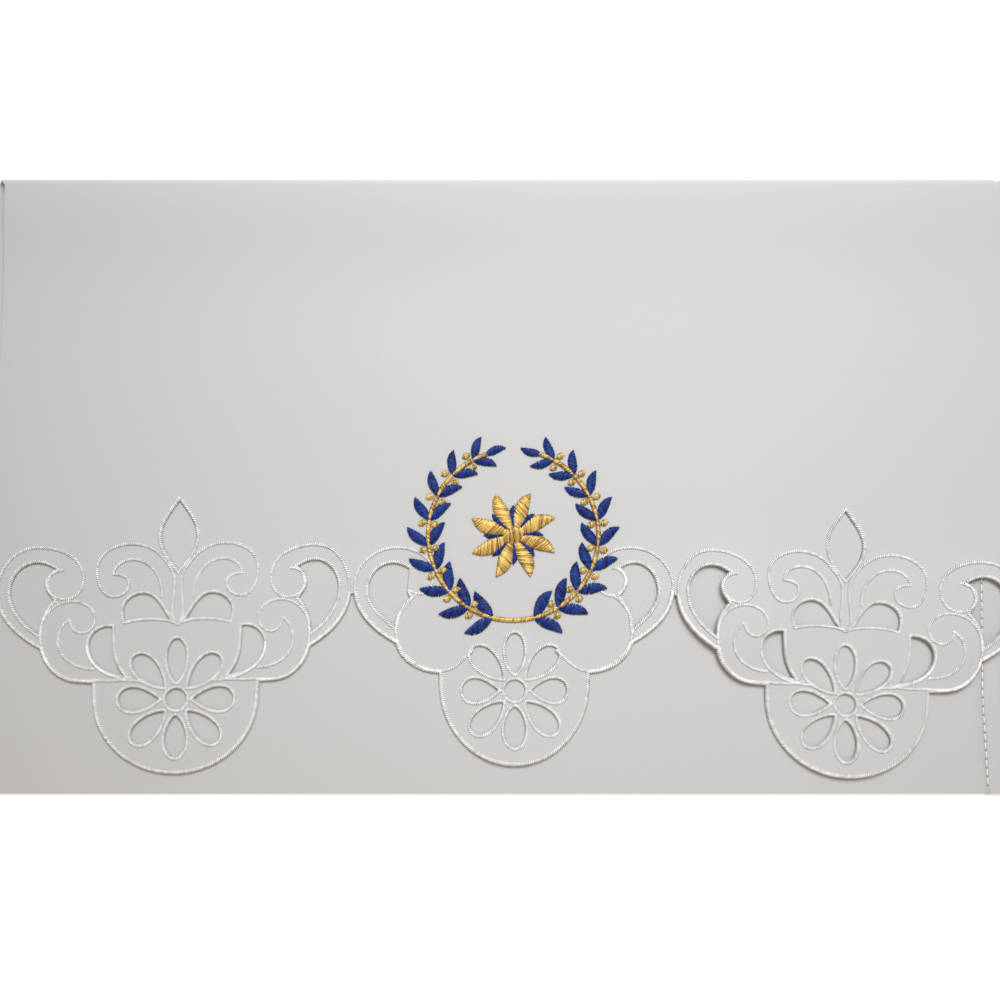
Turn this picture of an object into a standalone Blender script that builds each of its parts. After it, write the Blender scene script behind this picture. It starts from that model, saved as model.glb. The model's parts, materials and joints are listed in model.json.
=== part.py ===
"""Altar cloth: one length of white twill, folded once, with a cutwork edge and a raised flower wreath.

The cloth's pattern is a flat plan of x across the cloth and v along it. v runs back over the upper
layer from its scalloped edge, round the fold, and forward again under it. Sizes in the tables are
millimetres, and the finished meshes are in metres with +Z up.
"""

import math

import bpy
from mathutils import Vector
from mathutils.geometry import delaunay_2d_cdt

MM = 0.001

# The folded cloth
CLOTH_THICK = 1.0
LAYER_RISE = 1.6
BACK_FOLD_RADIUS = 2.1
BACK_EDGE = 110.0
FRONT_Y = -110.0
BACK_Y = BACK_EDGE - BACK_FOLD_RADIUS - CLOTH_THICK / 2
UPPER_LEFT = {"back": -175.8, "front": -187.7}
LOWER_LEFT = {"back": -181.0, "front": -184.0}
UPPER_RIGHT = {"back": 204.0, "front": 204.0}
LOWER_RIGHT = {"back": 186.5, "front": 189.0}
ORIGIN = Vector(((LOWER_LEFT["front"] + UPPER_RIGHT["front"]) / 2, (FRONT_Y + BACK_EDGE) / 2, 0.0))
HEM_WIDTH = 15.0
HEM_THICK = 0.4
HEM_STEP = 0.8
HEM_LIFT = 0.7
FOLD_STEPS = 8

# The cutwork edge
EDGE_STEP = 3.6
CLEFT_RISE = -0.4
SHOULDER_RISE = 2.0
OPENING_STEP = 3.4
OPENING_INSET = 0.6
FIELD_STEP = 17.0
FIELD_CLEAR = 5.0
FIELD_ROW_SHARE = 0.87
FIELD_FRONT = -95.0
FIELD_MARGIN = 8.0
SIDE_STEP = 40.0
LOWER_STEP = 70.0

# The daisy in each scallop, with its petals' reach and half width by direction
PETAL_INNER = 6.4
PETAL_FULLNESS = 0.42
PETAL_POINTS = 13
RING_RADIUS = 3.6
RING_POINTS = 14
PETALS = {
    "plain": (
        {"angle": 0, "reach": 20.3, "half_width": 4.1},
        {"angle": 45, "reach": 21.2, "half_width": 3.6},
        {"angle": 90, "reach": 21.1, "half_width": 3.0},
        {"angle": 135, "reach": 21.2, "half_width": 3.6},
        {"angle": 180, "reach": 20.3, "half_width": 4.1},
        {"angle": 225, "reach": 21.2, "half_width": 3.6},
        {"angle": 270, "reach": 20.5, "half_width": 3.0},
        {"angle": 315, "reach": 21.2, "half_width": 3.6},
    ),
    "centre": (
        {"angle": 0, "reach": 18.6, "half_width": 4.1},
        {"angle": 45, "reach": 21.0, "half_width": 3.6},
        {"angle": 90, "reach": 20.3, "half_width": 3.0},
        {"angle": 135, "reach": 21.0, "half_width": 3.6},
        {"angle": 180, "reach": 18.6, "half_width": 4.1},
        {"angle": 225, "reach": 21.0, "half_width": 3.6},
        {"angle": 270, "reach": 20.3, "half_width": 3.0},
        {"angle": 315, "reach": 21.0, "half_width": 3.6},
    ),
}

# The raised embroidery on the middle motif
THREAD_GAP = 0.3
THREAD_THICK = 0.9
WREATH_RADIUS = 30.5
WREATH_RISE = 55.7
WREATH_STEM = 1.2
WREATH_REACH = 162.0
WREATH_STEPS = 30
LEAF_PAIRS = 9
LEAF_FIRST = 14.0
LEAF_SPACING = 17.2
LEAF_LEAN = 42.0
LEAF_LENGTH = 11.5
LEAF_WIDTH = 4.4
LEAF_TAPER = 0.03
TIP_LEAF_SHARE = 0.7
LEAF_STEPS = 6
ROSETTE_PETALS = 8
ROSETTE_LENGTH = 14.5
ROSETTE_WIDTH = 5.6
ROSETTE_HEART = 3.6
ROSETTE_ROOT = 1.5
HEART_POINTS = 16

# Where the motifs lie on the cloth: the daisy's centre, the lean of their upright lines and the slope
# of their level lines, how much wider or taller than the drawn motif each is, and the further
# stretch of its left half at FLARE_REACH from the middle
FLARE_REACH = 60.0
MOTIFS = (
    {"kind": "plain", "x": -116.1, "y": -75.8, "lean": 0.019, "slope": 0.012,
     "left": 1.0, "right": 0.995, "tall": 1.01, "flare": 0.045},
    {"kind": "centre", "x": 5.4, "y": -72.7, "lean": 0.0, "slope": 0.0,
     "left": 1.0, "right": 0.985, "tall": 1.0, "flare": 0.0},
    {"kind": "plain", "x": 123.9, "y": -77.7, "lean": 0.0, "slope": -0.045,
     "left": 0.965, "right": 1.0, "tall": 0.98, "flare": 0.01},
)

# Soft lifts of the upper layer: centre, half spans, and height at the centre
LIFTS = (
    {"x": 82.0, "y": -50.0, "span_x": 24.0, "span_y": 24.0, "height": 2.6},
    {"x": 176.0, "y": -52.0, "span_x": 26.0, "span_y": 24.0, "height": 2.2},
    {"x": 126.0, "y": -102.0, "span_x": 30.0, "span_y": 16.0, "height": 1.2},
    {"x": 3.0, "y": -104.0, "span_x": 30.0, "span_y": 14.0, "height": 0.7},
    {"x": -58.0, "y": -50.0, "span_x": 18.0, "span_y": 20.0, "height": 0.4},
    {"x": -116.0, "y": -84.0, "span_x": 40.0, "span_y": 24.0, "height": 0.3},
    {"x": -60.0, "y": 40.0, "span_x": 70.0, "span_y": 34.0, "height": 0.5},
    {"x": 110.0, "y": 52.0, "span_x": 60.0, "span_y": 40.0, "height": 0.4},
)

# Right half of each motif's free edge, from the foot of its scallop to the cleft beside it.
# x and y from the motif's centre, and the headings in degrees on reaching and on leaving the point
PLAIN_EDGE = (
    {"x": 0.0, "y": -26.8, "reach": 0, "leave": 0},
    {"x": 29.5, "y": -2.0, "reach": 84, "leave": 84},
    {"x": 29.8, "y": 6.0, "reach": 92, "leave": 358},
    {"x": 36.0, "y": 6.3, "reach": 8, "leave": 8},
    {"x": 48.0, "y": 18.0, "reach": 80, "leave": 30},
    {"x": 61.9, "y": 36.0, "reach": 84, "leave": 84},
)
CENTRE_EDGE = (
    {"x": 0.0, "y": -27.1, "reach": 0, "leave": 0},
    {"x": 26.8, "y": -2.0, "reach": 83, "leave": 83},
    {"x": 27.2, "y": 6.1, "reach": 92, "leave": 0},
    {"x": 43.0, "y": 16.9, "reach": 76, "leave": 30},
    {"x": 57.5, "y": 34.9, "reach": 84, "leave": 84},
)

# Right-hand openings of the plain motif
PLAIN_COMMA = (
    {"x": 47.9, "y": 22.6, "reach": 290, "leave": 33},
    {"x": 58.2, "y": 38.8, "reach": 90, "leave": 90},
    {"x": 49.2, "y": 49.2, "reach": 180, "leave": 180},
    {"x": 42.0, "y": 46.4, "reach": 216, "leave": 345},
    {"x": 45.6, "y": 41.2, "reach": 270, "leave": 270},
    {"x": 42.9, "y": 35.4, "reach": 235, "leave": 318},
    {"x": 47.3, "y": 27.6, "reach": 283, "leave": 283},
)
HALF_MOON = (
    {"x": 22.9, "y": 26.2, "reach": 86, "leave": 12},
    {"x": 31.8, "y": 19.4, "reach": 270, "leave": 270},
    {"x": 26.8, "y": 10.6, "reach": 212, "leave": 212},
    {"x": 17.8, "y": 7.9, "reach": 186, "leave": 46},
    {"x": 22.3, "y": 17.0, "reach": 80, "leave": 80},
)
FAN = (
    {"x": 1.6, "y": 27.4, "reach": 200, "leave": 52},
    {"x": 12.4, "y": 38.0, "reach": 0, "leave": 0},
    {"x": 19.9, "y": 31.4, "reach": 270, "leave": 270},
    {"x": 19.2, "y": 27.2, "reach": 262, "leave": 164},
    {"x": 10.4, "y": 28.5, "reach": 180, "leave": 180},
)
ALMOND = (
    {"x": 0.0, "y": 45.0, "reach": 312, "leave": 48},
    {"x": 6.8, "y": 57.9, "reach": 90, "leave": 90},
    {"x": 0.0, "y": 71.4, "reach": 124, "leave": 236},
    {"x": -6.8, "y": 57.9, "reach": 270, "leave": 270},
)

# Openings of the middle motif. The left one has a straight inner side with a notch under it
CENTRE_COMMA = (
    {"x": 42.6, "y": 21.4, "reach": 288, "leave": 42},
    {"x": 52.4, "y": 35.8, "reach": 90, "leave": 90},
    {"x": 43.4, "y": 46.0, "reach": 180, "leave": 180},
    {"x": 37.4, "y": 43.6, "reach": 218, "leave": 345},
    {"x": 40.4, "y": 39.2, "reach": 270, "leave": 270},
    {"x": 37.6, "y": 33.8, "reach": 235, "leave": 318},
    {"x": 42.0, "y": 26.0, "reach": 282, "leave": 282},
)
CENTRE_LEFT_COMMA = (
    {"x": -38.2, "y": 35.6, "reach": 268, "leave": 290},
    {"x": -37.0, "y": 32.9, "reach": 290, "leave": 235},
    {"x": -41.6, "y": 26.9, "reach": 242, "leave": 242},
    {"x": -42.6, "y": 21.8, "reach": 252, "leave": 138},
    {"x": -53.0, "y": 35.8, "reach": 90, "leave": 90},
    {"x": -43.6, "y": 46.0, "reach": 0, "leave": 0},
    {"x": -37.6, "y": 44.0, "reach": 330, "leave": 266},
)

# Openings of each kind of motif: those on both sides of its middle line, and single ones
OPENINGS = {
    "plain": {"pairs": (PLAIN_COMMA, HALF_MOON, FAN), "singles": (ALMOND,)},
    "centre": {"pairs": (), "singles": (CENTRE_COMMA, CENTRE_LEFT_COMMA)},
}

# Colour, roughness and metallic value of each finish
TWILL = {"name": "white_twill", "colour": (0.66, 0.65, 0.64), "roughness": 0.85, "metallic": 0.0}
BLUE_THREAD = {"name": "blue_thread", "colour": (0.02, 0.06, 0.32), "roughness": 0.45, "metallic": 0.0}
GOLD_THREAD = {"name": "gold_thread", "colour": (0.62, 0.36, 0.06), "roughness": 0.35, "metallic": 0.8}


def clear_scene():
    """Remove every object that the scene starts with."""
    for item in list(bpy.data.objects):
        bpy.data.objects.remove(item, do_unlink=True)


def heading(degrees):
    """Unit vector of a heading."""
    angle = math.radians(degrees)
    return Vector((math.cos(angle), math.sin(angle)))


def swing(start, leave, end, reach, step):
    """Points after start on the round stretch that leaves start and reaches end at given headings."""
    turn = math.radians(abs((reach - leave + 180) % 360 - 180))
    chord = (end - start).length
    handle = chord / 3
    if turn > 0.02:
        handle = chord * (2 / 3) * math.tan(turn / 4) / math.sin(turn / 2)
    pull = start + heading(leave) * handle
    push = end - heading(reach) * handle
    count = max(2, round(chord * 1.08 / step))
    points = []
    for index in range(1, count + 1):
        t = index / count
        u = 1 - t
        points.append(start * u**3 + pull * 3 * u * u * t + push * 3 * u * t * t + end * t**3)
    return points


def open_curve(rows, step):
    """Points of a smooth curve through the rows."""
    points = [Vector((rows[0]["x"], rows[0]["y"]))]
    for here, there in zip(rows, rows[1:]):
        end = Vector((there["x"], there["y"]))
        points += swing(points[-1], here["leave"], end, there["reach"], step)
    return points


def closed_curve(rows, step):
    """Points of a closed smooth curve through the rows, the first point not repeated."""
    return open_curve(rows + (rows[0],), step)[:-1]


def mirrored(points):
    """The points on the other side of the motif's middle line, in the turning sense of the first."""
    return [Vector((-point.x, point.y)) for point in reversed(points)]


def distance_to_loop(point, loop):
    """Shortest distance from a point to the sides of a closed loop."""
    best = float("inf")
    for here, there in zip(loop, loop[1:] + loop[:1]):
        side = there - here
        along = max(0.0, min(1.0, (point - here).dot(side) / side.length_squared))
        best = min(best, (point - here - side * along).length)
    return best


def inset(loop, amount):
    """A closed loop drawn in by an even amount, without the points that its corners swallow."""
    area = sum(a.cross(b) for a, b in zip(loop, loop[1:] + loop[:1]))
    inward = 1 if area > 0 else -1
    result = []
    for before, here, after in zip(loop[-1:] + loop[:-1], loop, loop[1:] + loop[:1]):
        first = (here - before).normalized()
        second = (after - here).normalized()
        normal = Vector((-first.y - second.y, first.x + second.x)).normalized() * inward
        spread = max(0.35, normal.dot(Vector((-first.y, first.x)) * inward))
        moved = here + normal * amount / spread
        if distance_to_loop(moved, loop) > amount * 0.93:
            result.append(moved)
    return result


def petal(row):
    """One egg-shaped petal opening of the daisy."""
    spoke = heading(row["angle"])
    side = Vector((-spoke.y, spoke.x))
    points = []
    for index in range(PETAL_POINTS):
        turn = 2 * math.pi * index / PETAL_POINTS
        along = (1 - math.cos(turn)) / 2
        across = row["half_width"] * 1.2 * math.sin(turn) * along**PETAL_FULLNESS
        reach = PETAL_INNER + (row["reach"] - PETAL_INNER) * along
        points.append(spoke * reach + side * across)
    return points


def ring(radius, count):
    """A circle about the daisy's middle."""
    return [heading(360 * index / count) * radius for index in range(count)]


def motif_openings(motif):
    """All openings of a motif, in its own frame."""
    openings = OPENINGS[motif["kind"]]
    loops = []
    for rows in openings["pairs"]:
        loop = inset(closed_curve(rows, OPENING_STEP), OPENING_INSET)
        loops += [loop, mirrored(loop)]
    for rows in openings["singles"]:
        loops.append(inset(closed_curve(rows, OPENING_STEP), OPENING_INSET))
    loops += [petal(row) for row in PETALS[motif["kind"]]]
    loops.append(ring(RING_RADIUS, RING_POINTS))
    return loops


def placed(motif, points):
    """Points of a motif's own frame, laid on the cloth."""
    result = []
    for point in points:
        x = point.x * motif["left" if point.x < 0 else "right"]
        x *= 1 + motif["flare"] * (min(0.0, x) / FLARE_REACH) ** 2
        y = point.y * motif["tall"]
        result.append(Vector((motif["x"] + x + motif["lean"] * y, motif["y"] + y + motif["slope"] * x)))
    return result


def scalloped_edge():
    """The free edge of the upper layer from its left end to its right end."""
    edge = []
    for motif in MOTIFS:
        half = open_curve(CENTRE_EDGE if motif["kind"] == "centre" else PLAIN_EDGE, EDGE_STEP)
        whole = placed(motif, mirrored(half)[:-1] + half)
        if edge:
            edge.append((edge[-1] + whole[0]) / 2 + Vector((0, CLEFT_RISE)))
        edge += whole
    return edge


def blend(ends, y):
    """A side edge's x at a place between its front and back ends."""
    share = (y - FRONT_Y) / (BACK_Y - FRONT_Y)
    return ends["front"] + (ends["back"] - ends["front"]) * share


def fold_length():
    """Length of cloth in the half circle of the back fold."""
    return math.pi * BACK_FOLD_RADIUS


def under(y):
    """Pattern place of a point on the lower layer."""
    return BACK_Y + fold_length() + (BACK_Y - y)


def side_x(upper, lower, v):
    """A side edge's x at pattern place v."""
    if v <= BACK_Y:
        return blend(upper, v)
    if v >= BACK_Y + fold_length():
        return blend(lower, 2 * BACK_Y + fold_length() - v)
    share = (v - BACK_Y) / fold_length()
    return upper["back"] + (lower["back"] - upper["back"]) * share


def left_x(v):
    """The left edge of the pattern."""
    return side_x(UPPER_LEFT, LOWER_LEFT, v)


def right_x(v):
    """The right edge of the pattern."""
    return side_x(UPPER_RIGHT, LOWER_RIGHT, v)


def rise_of_upper_layer(x, y):
    """Height of the upper layer's middle above the lower layer's."""
    height = LAYER_RISE
    back = (BACK_Y - y) / 24.0
    height += (2 * BACK_FOLD_RADIUS - LAYER_RISE) * math.exp(-back * back)
    hem = max(0.0, min(1.0, (x - 140.0) / 40.0))
    height += HEM_LIFT * hem * hem * (3 - 2 * hem) * (1 - math.exp(-back * back))
    for lift in LIFTS:
        far = ((x - lift["x"]) / lift["span_x"]) ** 2 + ((y - lift["y"]) / lift["span_y"]) ** 2
        height += lift["height"] * math.exp(-far) * (1 - math.exp(-back * back))
    return height


def section(x, v):
    """Middle point of the cloth and the direction of its right side, at a place of the pattern."""
    if v <= BACK_Y:
        return Vector((x, v, CLOTH_THICK / 2 + rise_of_upper_layer(x, v))), Vector((0, 0, 1))
    if v >= BACK_Y + fold_length():
        return Vector((x, 2 * BACK_Y + fold_length() - v, CLOTH_THICK / 2)), Vector((0, 0, -1))
    angle = (v - BACK_Y) / BACK_FOLD_RADIUS
    outward = Vector((0, math.sin(angle), math.cos(angle)))
    middle = Vector((x, BACK_Y, CLOTH_THICK / 2 + BACK_FOLD_RADIUS))
    return middle + outward * BACK_FOLD_RADIUS, outward


def skins(x, v):
    """The cloth's right side and wrong side at a place of the pattern."""
    middle, outward = section(x, v)
    hem = max(0.0, min(1.0, (x - (right_x(v) - HEM_WIDTH)) / HEM_STEP))
    return middle + outward * CLOTH_THICK / 2, middle - outward * (CLOTH_THICK / 2 + HEM_THICK * hem)


def inside(point, loop):
    """Whether a point of the plan lies in a closed loop."""
    odd = False
    for here, there in zip(loop, loop[1:] + loop[:1]):
        if (here.y > point.y) != (there.y > point.y):
            if point.x < here.x + (there.x - here.x) * (point.y - here.y) / (there.y - here.y):
                odd = not odd
    return odd


def steps(low, high, step):
    """Evenly spaced values from low to high, both included."""
    count = max(1, math.ceil((high - low) / step))
    return [low + (high - low) * index / count for index in range(count + 1)]


def cloth_outline():
    """Closed outline of the flat pattern."""
    edge = scalloped_edge()
    right = [Vector((right_x(v), v)) for v in steps(edge[-1].y + SHOULDER_RISE, BACK_Y, SIDE_STEP)]
    fold = [BACK_Y + fold_length() * index / FOLD_STEPS for index in range(1, FOLD_STEPS)]
    right += [Vector((right_x(v), v)) for v in fold]
    right += [Vector((right_x(v), v)) for v in steps(under(BACK_Y), under(FRONT_Y), LOWER_STEP)]
    left = [Vector((left_x(v), v)) for v in steps(under(BACK_Y), under(FRONT_Y), LOWER_STEP)]
    left += [Vector((left_x(v), v)) for v in fold]
    left += [Vector((left_x(v), v)) for v in steps(edge[0].y + SHOULDER_RISE, BACK_Y, SIDE_STEP)]
    return edge + right + sorted(left, key=lambda point: -point.y)


def hem_line(offset):
    """Points along the hem's inner fold, from the cloth's free edge to its lower front edge."""
    start = scalloped_edge()[-1].y + SHOULDER_RISE
    places = steps(start, BACK_Y, SIDE_STEP)
    places += [BACK_Y + fold_length() * index / FOLD_STEPS for index in range(1, FOLD_STEPS)]
    places += steps(under(BACK_Y), under(FRONT_Y), LOWER_STEP)
    return [Vector((right_x(v) - HEM_WIDTH + offset, v)) for v in places]


def field_points(loops):
    """Plan points of the upper layer's open field, clear of its edges and openings."""
    points = []
    rim = [point for loop in loops for point in loop]
    left = UPPER_LEFT["front"] + FIELD_MARGIN
    right = UPPER_RIGHT["front"] - HEM_WIDTH - FIELD_MARGIN
    for row, v in enumerate(steps(FIELD_FRONT, BACK_Y - FIELD_MARGIN, FIELD_STEP * FIELD_ROW_SHARE)):
        shift = FIELD_STEP / 4 if row % 2 else -FIELD_STEP / 4
        for x in steps(left, right, FIELD_STEP):
            point = Vector((x + shift, v))
            if not inside(point, loops[0]) or any(inside(point, loop) for loop in loops[1:]):
                continue
            if min((point - other).length for other in rim) > FIELD_CLEAR:
                points.append(point)
    return points


def triangulate(loops, lines, extra):
    """Plan points and triangles of the area inside the first loop and outside the others."""
    points = []
    edges = []
    for loop in loops:
        first = len(points)
        points += loop
        edges += [(first + i, first + (i + 1) % len(loop)) for i in range(len(loop))]
    for line in lines:
        first = len(points)
        points += line
        edges += [(first + i, first + i + 1) for i in range(len(line) - 1)]
    points += extra
    found = delaunay_2d_cdt(points, edges, [], 1, 1e-5)
    plan, faces = found[0], found[2]
    kept = []
    for face in faces:
        middle = sum((plan[index] for index in face), Vector((0, 0))) / len(face)
        if inside(middle, loops[0]) and not any(inside(middle, loop) for loop in loops[1:]):
            kept.append(tuple(face))
    return plan, kept


def thick_mesh(name, plan, faces, both_sides):
    """A closed mesh of two skins over the plan's triangles, joined by walls along every free edge."""
    used = sorted({index for face in faces for index in face})
    place = {index: number for number, index in enumerate(used)}
    pairs = [both_sides(plan[index].x, plan[index].y) for index in used]
    count = len(used)
    vertices = [(pair[side] - ORIGIN) * MM for side in (0, 1) for pair in pairs]
    solid = []
    sides = {}
    for face in faces:
        top = [place[index] for index in face]
        solid.append(tuple(top))
        solid.append(tuple(count + index for index in reversed(top)))
        for here, there in zip(top, top[1:] + top[:1]):
            sides[(here, there)] = True
    for here, there in sides:
        if (there, here) not in sides:
            solid.append((there, here, count + here, count + there))
    mesh = bpy.data.meshes.new(name)
    mesh.from_pydata([tuple(vertex) for vertex in vertices], [], solid)
    mesh.validate()
    return mesh


def finish(settings):
    """A plain material with the finish's colour, roughness and metallic value."""
    material = bpy.data.materials.new(settings["name"])
    material.use_nodes = True
    shader = material.node_tree.nodes["Principled BSDF"]
    shader.inputs["Base Color"].default_value = (*settings["colour"], 1.0)
    shader.inputs["Roughness"].default_value = settings["roughness"]
    shader.inputs["Metallic"].default_value = settings["metallic"]
    return material


def add_piece(name, mesh, settings):
    """Put a mesh into the scene as a named object with its own material."""
    mesh.materials.append(finish(settings))
    piece = bpy.data.objects.new(name, mesh)
    bpy.context.scene.collection.objects.link(piece)
    return piece


def build_cloth():
    """The folded cloth with its cutwork edge, its back fold and its side hem."""
    loops = [cloth_outline()]
    for motif in MOTIFS:
        loops += [placed(motif, loop) for loop in motif_openings(motif)]
    lines = [hem_line(0.0), hem_line(HEM_STEP)]
    for index in range(FOLD_STEPS + 1):
        v = BACK_Y + fold_length() * index / FOLD_STEPS
        lines.append([Vector((x, v)) for x in steps(left_x(v), right_x(v) - HEM_WIDTH, SIDE_STEP)])
    plan, faces = triangulate(loops, lines, field_points(loops))
    add_piece("altar_cloth", thick_mesh("altar_cloth", plan, faces, skins), TWILL)


def leaf(start, angle, length, width):
    """Outline of a pointed leaf that springs from start."""
    spoke = heading(angle)
    across = Vector((-spoke.y, spoke.x))
    right = []
    left = []
    for index in range(LEAF_STEPS + 1):
        share = index / LEAF_STEPS
        middle = start + spoke * length * share
        half = across * width / 2 * max(0.0, math.sin(math.pi * share)) ** 0.8
        right.append(middle - half)
        left.append(middle + half)
    return right + left[-2:0:-1]


def union_of(outlines):
    """Plan points and triangles of the area that any of the outlines covers."""
    points = []
    edges = []
    for loop in outlines:
        first = len(points)
        points += loop
        edges += [(first + i, first + (i + 1) % len(loop)) for i in range(len(loop))]
    found = delaunay_2d_cdt(points, edges, [], 1, 1e-5)
    plan, faces = found[0], found[2]
    kept = []
    for face in faces:
        middle = sum((plan[index] for index in face), Vector((0, 0))) / len(face)
        if any(inside(middle, loop) for loop in outlines):
            kept.append(tuple(face))
    return plan, kept


def raised_thread(x, y):
    """Upper and lower side of the embroidery, which lies on the upper layer."""
    floor = CLOTH_THICK + rise_of_upper_layer(x, y) + THREAD_GAP
    return Vector((x, y, floor + THREAD_THICK)), Vector((x, y, floor))


def wreath_outlines(middle):
    """A round stem, open at its top, with pairs of leaves along both branches."""
    outlines = []
    for side in (-1, 1):
        reach = [-90 + side * WREATH_REACH * index / WREATH_STEPS for index in range(WREATH_STEPS + 1)]
        outer = [middle + heading(angle) * (WREATH_RADIUS + WREATH_STEM / 2) for angle in reach]
        inner = [middle + heading(angle) * (WREATH_RADIUS - WREATH_STEM / 2) for angle in reach]
        outlines.append(outer + inner[::-1])
        for pair in range(LEAF_PAIRS):
            angle = -90 + side * (LEAF_FIRST + LEAF_SPACING * pair)
            start = middle + heading(angle) * WREATH_RADIUS
            size = 1.0 - LEAF_TAPER * pair
            for lean in (-LEAF_LEAN, LEAF_LEAN):
                onward = angle + side * 90 + lean
                outlines.append(leaf(start, onward, LEAF_LENGTH * size, LEAF_WIDTH * size))
        tip = -90 + side * WREATH_REACH
        onward = tip + side * 90
        start = middle + heading(tip) * WREATH_RADIUS - heading(onward)
        outlines.append(leaf(start, onward, LEAF_LENGTH * TIP_LEAF_SHARE, LEAF_WIDTH * TIP_LEAF_SHARE))
    return outlines


def rosette_outlines(middle):
    """Pointed petals round a heart."""
    outlines = [[middle + point for point in ring(ROSETTE_HEART, HEART_POINTS)]]
    for index in range(ROSETTE_PETALS):
        angle = 360 * (index + 0.5) / ROSETTE_PETALS
        root = middle + heading(angle) * ROSETTE_ROOT
        outlines.append(leaf(root, angle, ROSETTE_LENGTH, ROSETTE_WIDTH))
    return outlines


def build_embroidery():
    """The blue wreath and the gold rosette on the middle motif."""
    motif = MOTIFS[1]
    middle = Vector((motif["x"], motif["y"] + WREATH_RISE))
    plan, faces = union_of(wreath_outlines(middle))
    add_piece("leaf_wreath", thick_mesh("leaf_wreath", plan, faces, raised_thread), BLUE_THREAD)
    plan, faces = union_of(rosette_outlines(middle))
    add_piece("rosette", thick_mesh("rosette", plan, faces, raised_thread), GOLD_THREAD)


clear_scene()
build_cloth()
build_embroidery()
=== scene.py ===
"""Altar cloth: folded white twill with a cutwork edge, satin edging, a hem and a blue and gold wreath.

The cloth's pattern is a flat plan of x across the cloth and v along it. v runs back over the upper
layer from its scalloped edge, round the back fold, and forward again under it. Tables are in
millimetres, and finished meshes are in metres in the frame's own axes.
"""

import json
import logging
import math
from dataclasses import dataclass, field, replace
from enum import Enum
from typing import ClassVar

import bpy
import numpy as np
from bpy.types import ID, Material, Node, NodeSocket, NodeTree, Object
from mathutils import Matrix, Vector
from mathutils.geometry import delaunay_2d_cdt

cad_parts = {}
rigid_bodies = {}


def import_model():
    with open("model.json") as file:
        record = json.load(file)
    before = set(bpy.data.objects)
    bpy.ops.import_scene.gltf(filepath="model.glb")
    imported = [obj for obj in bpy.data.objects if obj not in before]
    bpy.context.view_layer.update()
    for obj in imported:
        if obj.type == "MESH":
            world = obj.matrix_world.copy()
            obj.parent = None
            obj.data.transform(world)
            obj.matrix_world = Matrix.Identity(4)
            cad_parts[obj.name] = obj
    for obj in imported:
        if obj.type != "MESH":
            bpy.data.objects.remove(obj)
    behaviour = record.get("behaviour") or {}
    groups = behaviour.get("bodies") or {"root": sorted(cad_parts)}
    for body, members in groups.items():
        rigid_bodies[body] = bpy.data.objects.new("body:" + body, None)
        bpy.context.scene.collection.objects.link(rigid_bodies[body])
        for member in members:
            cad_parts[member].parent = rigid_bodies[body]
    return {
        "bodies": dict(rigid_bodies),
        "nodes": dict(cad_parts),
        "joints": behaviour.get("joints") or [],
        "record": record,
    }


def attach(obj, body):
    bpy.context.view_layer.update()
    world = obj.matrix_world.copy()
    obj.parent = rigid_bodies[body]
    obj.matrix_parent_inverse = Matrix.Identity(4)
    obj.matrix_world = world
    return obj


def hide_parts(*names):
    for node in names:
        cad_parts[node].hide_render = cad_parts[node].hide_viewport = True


MM = 0.001
# The photograph's scale in millimetres a pixel, its width in pixels, and the pixel row of y = 0.
PHOTO_SCALE = 0.358
PHOTO_WIDTH = 1000
PHOTO_MIDDLE_Y = 487.5
# How far the side edges rise past the outermost clefts.
SHOULDER = 2.0
# The turn in radians below which a stretch is straight, and a bent one's usual length in chords.
NEARLY_STRAIGHT = 0.02
ARC_SHARE = 1.08
# How far a corner may stretch an inset, and how much of the inset each kept point has to clear.
SHARPEST_CORNER = 0.35
CLEAR_SHARE = 0.93
TINY = 1e-9
# Corners of a thread's section.
CORNERS = 4
EDGING_SEED = 11
BODY = "root"

log = logging.getLogger("altar_cloth")


class Wrap(Enum):
    """Where a satin line's stitches go over a cut edge, seen along the line."""

    NONE = 0.0
    LEFT = 1.0
    RIGHT = -1.0


class End(Enum):
    """Which side edge of the cloth a motif stands next to."""

    NONE = "none"
    LEFT = "left"
    RIGHT = "right"


@dataclass(frozen=True)
class Turn:
    """A point of a drawn line, with the headings in degrees on reaching and leaving it."""

    x: float
    y: float
    reach: float
    leave: float


def turns(*rows: tuple[float, float, float, float]) -> tuple[Turn, ...]:
    """Turns of a line from x, y, the heading on reaching and the heading on leaving each point."""
    return tuple(Turn(*row) for row in rows)


def closed(*rows: tuple[float, float, float, float]) -> tuple[Turn, ...]:
    """Turns of a line that comes back to its first point."""
    return turns(*rows, rows[0])


def smooth(*rows: tuple[float, float, float]) -> tuple[Turn, ...]:
    """Turns of a line without corners, from x, y and the heading at each point."""
    return tuple(Turn(x, y, angle, angle) for x, y, angle in rows)


def heading(degrees: float) -> np.ndarray:
    """Unit vector of a heading."""
    angle = math.radians(degrees)
    return np.array((math.cos(angle), math.sin(angle)))


def quarter_turned(vectors: np.ndarray) -> np.ndarray:
    """Vectors turned a quarter to the left."""
    return np.stack((-vectors[..., 1], vectors[..., 0]), axis=-1)


def signed_area(loop: np.ndarray) -> float:
    """Area inside a closed loop, negative where the loop runs clockwise."""
    after = np.roll(loop, -1, axis=0)
    return float(np.sum(loop[:, 0] * after[:, 1] - loop[:, 1] * after[:, 0])) / 2


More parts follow.
